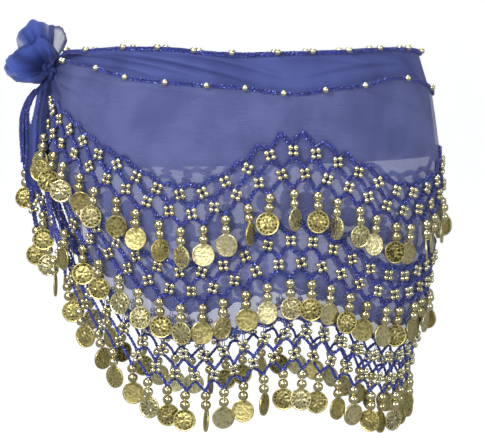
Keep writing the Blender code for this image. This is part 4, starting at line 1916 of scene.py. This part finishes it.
@dataclass
class TailFringe:
    """The drops under a tail, on crochet cords with a flower on each."""

    node: str
    height: float
    depth: float
    strands: tuple
    seed: int
    turns: tuple = (4.0, -5.0, 2.0)
    spin: float = 20.0
    flower_spin: float = 25.0
    flower_share: float = 0.55
    cord: Plait = Plait(0.15, 0.07, 0.09, 1.0)

    def upright(self, x: float, y: float, z: float, spin: float = 0.0, turn: float = 0.0) -> Matrix:
        """Places a small piece that faces the front.

        Args:
            x: Its place across (cm).
            y: Its place in depth (cm).
            z: Its height (cm).
            spin: Its turn about its outward axis (degrees).
            turn: Its turn about its upright axis (degrees).

        Returns:
            The piece's matrix.
        """
        stand = Matrix.Translation(Vector((x, y, z)) * CM) @ Matrix.Rotation(math.pi / 2.0, 4, "X")
        upright = Matrix.Rotation(math.radians(turn), 4, "Y")
        return stand @ upright @ Matrix.Rotation(math.radians(spin), 4, "Z")

    def make(self, trimmings: Trimmings, finishes: Finishes) -> None:
        """Builds the cords, flowers, beads and coins.

        Args:
            trimmings: The templates.
            finishes: The scarf's materials.
        """
        chance = np.random.default_rng(self.seed)
        paths, flowers, drops = [], [], Drops()
        for number, (x, coin, sway) in enumerate(self.strands):
            top = np.array((x, self.depth, self.height + 0.3))
            foot = np.array(coin) - np.array((0.0, 0.0, Drops.COIN_RISE))
            t = np.linspace(0.0, 1.0, max(6, int(np.linalg.norm(top - foot) / self.cord.step)))
            line = top + (foot - top) * t[:, None]
            line[:, 0] += sway * np.sin(math.pi * t)
            outward = np.tile(FORWARD, (len(t), 1))
            paths += self.cord.paths(line * CM, outward, chance)
            turn = self.turns[number]
            drops.beads += [self.upright(coin[0], coin[1], foot[2] + rise) for rise in Drops.BEAD_RISES]
            drops.links.append(self.upright(coin[0], coin[1], foot[2] + Drops.LINK_RISE, 0.0, turn))
            drops.coins.append(self.upright(*coin, float(chance.uniform(-self.spin, self.spin)), turn))
            if len(t) > 12:
                spot = line[int(len(t) * self.flower_share)]
                spin = float(chance.uniform(-self.flower_spin, self.flower_spin))
                flowers.append(self.upright(spot[0], spot[1] - 0.15, spot[2], spin))
        cords = Bench.tubes(f"{self.node}_cords", paths, self.cord.strand)
        Bench.settle(cords, finishes.yarn, Slot.BRAID)
        shades = chance.uniform(0.0, 1.0, len(drops.coins))
        drops.make(trimmings, finishes, (f"{self.node}_stamped", f"{self.node}_beads"), self.node, shades)
        if flowers:
            flower = Bench.repeat(f"{self.node}_flowers", trimmings.flower, flowers, np.zeros(len(flowers)))
            Bench.settle(flower, finishes.flower, Slot.METAL)


@dataclass
class Studio:
    """The pale sweep, the soft lights and the camera at the photograph's angle.

    The camera's sizes are in centimetres and those of the sweep and the lights in metres.
    """

    camera_distance: float = 180.0
    focal_pixels: float = 2060.0
    rim_row: float = 50.0
    middle_column: float = 243.5
    sensor: float = 36.0
    floor_height: float = -0.62
    sweep_width: float = 22.0
    sweep_front: float = -12.0
    sweep_back: float = 6.0
    sweep_height: float = 6.0
    sweep_radius: float = 1.6
    nearest: float = 0.05
    farthest: float = 50.0
    aim: tuple = (0.0, 0.0, -0.14)
    sky: Colour = (0.90, 0.93, 1.0, 1.0)
    sky_strength: float = 0.27

    def make_camera(self) -> None:
        """Sets the camera level with the rim, pitched to the middle of the picture."""
        data = bpy.data.cameras.new("camera")
        camera = bpy.data.objects.new("camera", data)
        bpy.context.scene.collection.objects.link(camera)
        data.sensor_width = self.sensor
        data.lens = self.sensor * self.focal_pixels / PHOTO_WIDTH
        pitch = math.atan((PHOTO_HEIGHT / 2.0 - self.rim_row) / self.focal_pixels)
        aside = (PHOTO_WIDTH / 2.0 - self.middle_column) * self.camera_distance / self.focal_pixels
        camera.location = (aside * CM, -self.camera_distance * CM, 0.0)
        camera.rotation_euler = (math.pi / 2.0 - pitch, 0.0, 0.0)
        data.clip_start, data.clip_end = self.nearest, self.farthest
        bpy.context.scene.camera = camera

    def make_sweep(self, paper: bpy.types.Material) -> None:
        """Builds a floor that curves up behind into a wall, seamless and pale.

        Args:
            paper: Its material.
        """
        sweep = Bench.grid("floor_sweep", 2, 160)
        share = Bench.points(sweep) + 0.5
        flat = self.sweep_back - self.sweep_front - self.sweep_radius
        arc = self.sweep_radius * math.pi / 2.0
        wall = self.sweep_height - self.sweep_radius
        gone = share[:, 1] * (flat + arc + wall)
        turn = np.clip((gone - flat) / self.sweep_radius, 0.0, math.pi / 2.0)
        y = self.sweep_front + np.minimum(gone, flat) + self.sweep_radius * np.sin(turn)
        z = self.floor_height + self.sweep_radius * (1.0 - np.cos(turn)) + np.maximum(gone - flat - arc, 0.0)
        points = np.stack(((share[:, 0] - 0.5) * self.sweep_width, y, z), axis=-1)
        Bench.move_points(sweep, points)
        Bench.smooth(sweep)
        sweep.data.materials.append(paper)
        sweep.visible_glossy = False

    def make_lights(self) -> None:
        """Hangs a large soft light at the upper left and weak ones at the right, above and in front."""
        for name, place, size, power in (
            ("key", (-1.1, -1.6, 1.0), 0.7, 36.0),
            ("fill", (1.7, -1.3, 0.5), 0.8, 10.0),
            ("top", (0.1, 0.1, 1.7), 1.0, 13.0),
            ("front", (-0.45, -2.5, 0.35), 0.9, 12.0),
        ):
            data = bpy.data.lights.new(name, "AREA")
            data.energy, data.size = power, size
            lamp = bpy.data.objects.new(name, data)
            bpy.context.scene.collection.objects.link(lamp)
            lamp.location = place
            aim = Vector(self.aim) - Vector(place)
            lamp.rotation_euler = aim.to_track_quat("-Z", "Y").to_euler()

    def make_world(self) -> None:
        """Fills the room with an even, slightly cool light."""
        world = bpy.data.worlds.new("studio")
        world.use_nodes = True
        back = world.node_tree.nodes["Background"]
        back.inputs["Color"].default_value = self.sky
        back.inputs["Strength"].default_value = self.sky_strength
        bpy.context.scene.world = world
        bpy.context.scene.view_settings.view_transform = "Standard"

    def make(self, paper: bpy.types.Material) -> None:
        """Builds the whole studio.

        Args:
            paper: The sweep's material.
        """
        self.make_camera()
        self.make_sweep(paper)
        self.make_lights()
        self.make_world()


class HipScarf:
    """The whole scarf, piece by piece."""

    UPPER_TURNS = (46.0, 4.0, 12.0, 32.0, 0.0, -14.0, 3.0, 8.0, -74.0, 5.0, 48.0, -6.0, 66.0, -18.0, 5.0,
                   -36.0, 58.0, 4.0, 10.0)
    MIDDLE_TURNS = (50.0, -8.0, 5.0, 16.0, -38.0, 7.0, -12.0, 4.0, 20.0, -18.0, 10.0, 24.0, -6.0, 46.0, 12.0,
                    -20.0, 6.0)
    FREE_TURNS = (8.0, -20.0, 62.0, -12.0, 16.0, -70.0, 5.0, 24.0, -9.0)
    WRAP_CREASES = (
        Crease((3.0, -2.1), (13.0, -3.3), 0.34, 0.1),
        Crease((9.5, -2.9), (24.5, -4.7), 0.4, 0.1),
        Crease((19.0, -3.9), (31.5, -4.6), 0.36, 0.08),
        Crease((0.4, -2.3), (7.5, -3.9), 0.3, 0.16),
        Crease((0.4, -3.0), (5.8, -6.9), 0.35, 0.16),
        Crease((26.0, -5.6), (36.0, -6.3), 0.5, 0.07),
        Crease((33.0, -3.4), (42.0, -5.2), 0.45, 0.09),
        Crease((12.0, -6.4), (22.0, -7.3), 0.55, 0.06),
        Crease((14.0, -14.5), (15.5, -21.5), 0.5, 0.07),
        Crease((24.5, -12.5), (23.4, -20.5), 0.5, 0.06),
        Crease((35.0, -14.5), (34.3, -22.0), 0.5, 0.07),
    )
    SASH_CREASES = (
        Crease((1.2, -0.4), (18.6, -2.15), 0.24, 0.26),
        Crease((5.5, -0.1), (24.6, -2.9), 0.28, 0.28),
        Crease((13.0, -0.1), (27.4, -2.65), 0.22, 0.2),
        Crease((9.0, -1.3), (15.0, -2.3), 0.16, 0.12),
        Crease((24.0, -0.9), (36.0, -1.3), 0.34, 0.1),
        Crease((28.0, -2.3), (39.5, -1.1), 0.3, 0.12),
        Crease((38.0, 0.1), (42.4, -2.3), 0.3, -0.2),
    )
    INNER_BEADS = (0.9, 6.5, 11.2, 14.8, 18.3, 21.8, 26.0, 29.3, 32.9, 36.4, 40.5, 44.4)
    OUTER_BEADS = (0.6, 1.6, 2.9, 8.7, 12.1, 16.0, 19.7, 23.0, 26.3, 30.0, 33.8, 38.9, 43.2)
    BOW_LOOPS = (
        BowLoop(
            "bow_rosette", -1.5, 1.2, 2.5,
            ((86, 3.7), (101, 4.5), (118, 4.6), (133, 4.1), (149, 3.3), (163, 3.9), (181, 4.0), (199, 3.0)),
            folds=4.6, crumple=0.36, thin=((90, 6), (138, 6), (184, 7)),
        ),
        BowLoop(
            "bow_small_loop", -0.5, 0.9, 1.0, ((61, 2.8), (71, 3.85), (80, 4.05), (91, 3.95)),
            fine_pleats=1.5, fine_depth=0.03, crumple=0.05, folds=1.0, rim=0.85, ragged=0.03, hem_width=0.22,
        ),
    )
    BOW_LOBE = BowLoop(
        "bow_lobe", -1.9, 0.1, 1.5,
        ((58, 1.1), (80, 2.1), (98, 3.2), (112, 3.3), (126, 3.1), (147, 3.3),
         (162, 4.0), (173, 3.75), (186, 3.8), (197, 2.9), (212, 2.1), (240, 1.3)),
        solid=False, root=0.3, fine_pleats=3.5, crumple=0.38, folds=3.1, thin=((190, 9), (152, 5)),
    )
    TAILS = (
        Tail(
            "tail_front",
            ((-2.68, -16.95, 0.45, 0.0), (-3.6, -17.5, 0.85, 0.0), (-5.5, -17.85, 1.02, 0.0),
             (-7.3, -17.95, 1.02, 0.0), (-8.6, -18.0, 1.0, 0.0), (-11.0, -18.15, 0.88, 0.0),
             (-12.0, -18.15, 0.72, 0.0)),
            2.5, 0.06, slit=(-0.66, 0.15, -6.4, -3.9),
        ),
        Tail(
            "tail_back",
            ((-2.62, -17.0, 0.25, 0.42), (-3.8, -18.5, 0.3, 0.42), (-5.5, -19.15, 0.3, 0.42),
             (-8.0, -19.3, 0.28, 0.42), (-9.8, -19.2, 0.2, 0.42)),
            2.0, 0.1,
        ),
    )
    # Each strand's top (x), its coin's middle (x, y, z) and how far it bows aside (cm)
    FRINGES = (
        TailFringe(
            "tail_coins_front", -12.04, 0.0,
            ((-18.6, (-18.15, 0.12, -17.9), -0.1), (-18.38, (-17.5, -0.62, -16.5), 0.1),
             (-18.16, (-17.1, -0.25, -18.8), 0.3)),
            71,
        ),
        TailFringe("tail_coins_back", -9.84, 0.42, ((-19.2, (-19.1, 0.42, -12.9), 0.0),), 72),
    )

    def __init__(self, finishes: Finishes) -> None:
        """Prepares the ring and the trimmings.

        Args:
            finishes: The scarf's materials.
        """
        self.finishes = finishes
        self.ring = Ring()
        self.trimmings = Trimmings()

    def make_cloth(self) -> None:
        for half in Half:
            wrap = ClothShell(self.ring, half, "cloth", Line.OUTER_RIM, Line.HEM, 0.0, self.WRAP_CREASES)
            sash = ClothShell(
                self.ring, half, "sash", Line.INNER_RIM, Line.FOLD, -0.27, self.SASH_CREASES,
                columns=280, rows=76,
            )
            wrap_piece = wrap.make(self.finishes.sheer, Slot.CHIFFON)
            sash_piece = sash.make(self.finishes.doubled, Slot.DOUBLED)
            wrap.flat_area()
            sash.flat_area()

    def make_edgings(self) -> None:
        """Edges both rims of both halves."""
        for number, half in enumerate(Half):
            outer = Edging(
                self.ring, half, "outer_edging", Line.OUTER_RIM, 0.1, self.OUTER_BEADS, 30 + number,
            )
            inner = Edging(
                self.ring, half, "inner_edging", Line.INNER_RIM, -0.1, self.INNER_BEADS, 40 + number,
                bead_rise=0.14,
            )
            outer.make(self.trimmings, self.finishes)
            inner.make(self.trimmings, self.finishes)

    def make_nets(self) -> None:
        """Builds the three bands of both halves."""
        firm, fine = Plait(), Plait(0.085, 0.05, 0.064, 0.9, 0.1, 0.01)
        for half in Half:
            back = half is Half.BACK
            for number, line, first, lift, depths, turns, plait in (
                ("1", Line.BAND_1, 0.9, 0.0, (0.38, 0.72), self.UPPER_TURNS, firm),
                ("2", Line.BAND_2, 5.4, 0.16, (0.38, 0.72), self.MIDDLE_TURNS, firm),
                ("3", Line.BAND_3, 2.0, 0.0, (0.1, 0.45), self.FREE_TURNS, fine),
            ):
                seed = 10 * int(number) + int(back)
                band = NetBand(self.ring, half, number, line, first, lift, depths, turns, plait, seed)
                band.make(self.trimmings, self.finishes)
            SideCords(self.ring, half, 50 + int(back)).make(self.finishes.yarn)

    def declare(self, shell: bpy.types.Object, length: float) -> None:
        """Logs the cut size of a gathered sheet, from the area of cloth in it.

        Args:
            shell: The piece of cloth.
            length: The length (m) of its cut.
        """
        area = sum(face.area for face in shell.data.polygons)
        LOG.info("%s: cut %.0f x %.0f mm", shell.name, area / length * 1000.0, length * 1000.0)

    def make_bow(self) -> None:
        """Ties the knot and the bow and hangs the tails."""
        rosette, small = self.BOW_LOOPS
        self.declare(rosette.make(self.finishes.bow, Slot.CHIFFON), 0.13)
        self.declare(small.make(self.finishes.veil, Slot.CHIFFON), 0.09)
        self.declare(self.BOW_LOBE.make(self.finishes.bow, Slot.CHIFFON), 0.07)
        Knot().make(self.finishes.tail)
        for tail in self.TAILS:
            self.declare(tail.make(self.finishes.tail), tail.length())
            tail.make_edging(self.finishes.yarn)
        for fringe in self.FRINGES:
            fringe.make(self.trimmings, self.finishes)

    def clear_templates(self) -> None:
        """Removes the templates, which only the copies need."""
        for template in self.trimmings.templates:
            bpy.data.objects.remove(template, do_unlink=True)


def main() -> None:
    """Builds the studio and the scarf and notes their sizes."""
    logging.basicConfig(level=logging.INFO, format="%(name)s: %(message)s")
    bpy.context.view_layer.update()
    finishes = Finishes()
    Studio().make(finishes.paper)
    scarf = HipScarf(finishes)
    scarf.make_cloth()
    scarf.make_edgings()
    scarf.make_nets()
    scarf.make_bow()
    scarf.clear_templates()


if __name__ == "__main__":
    main()
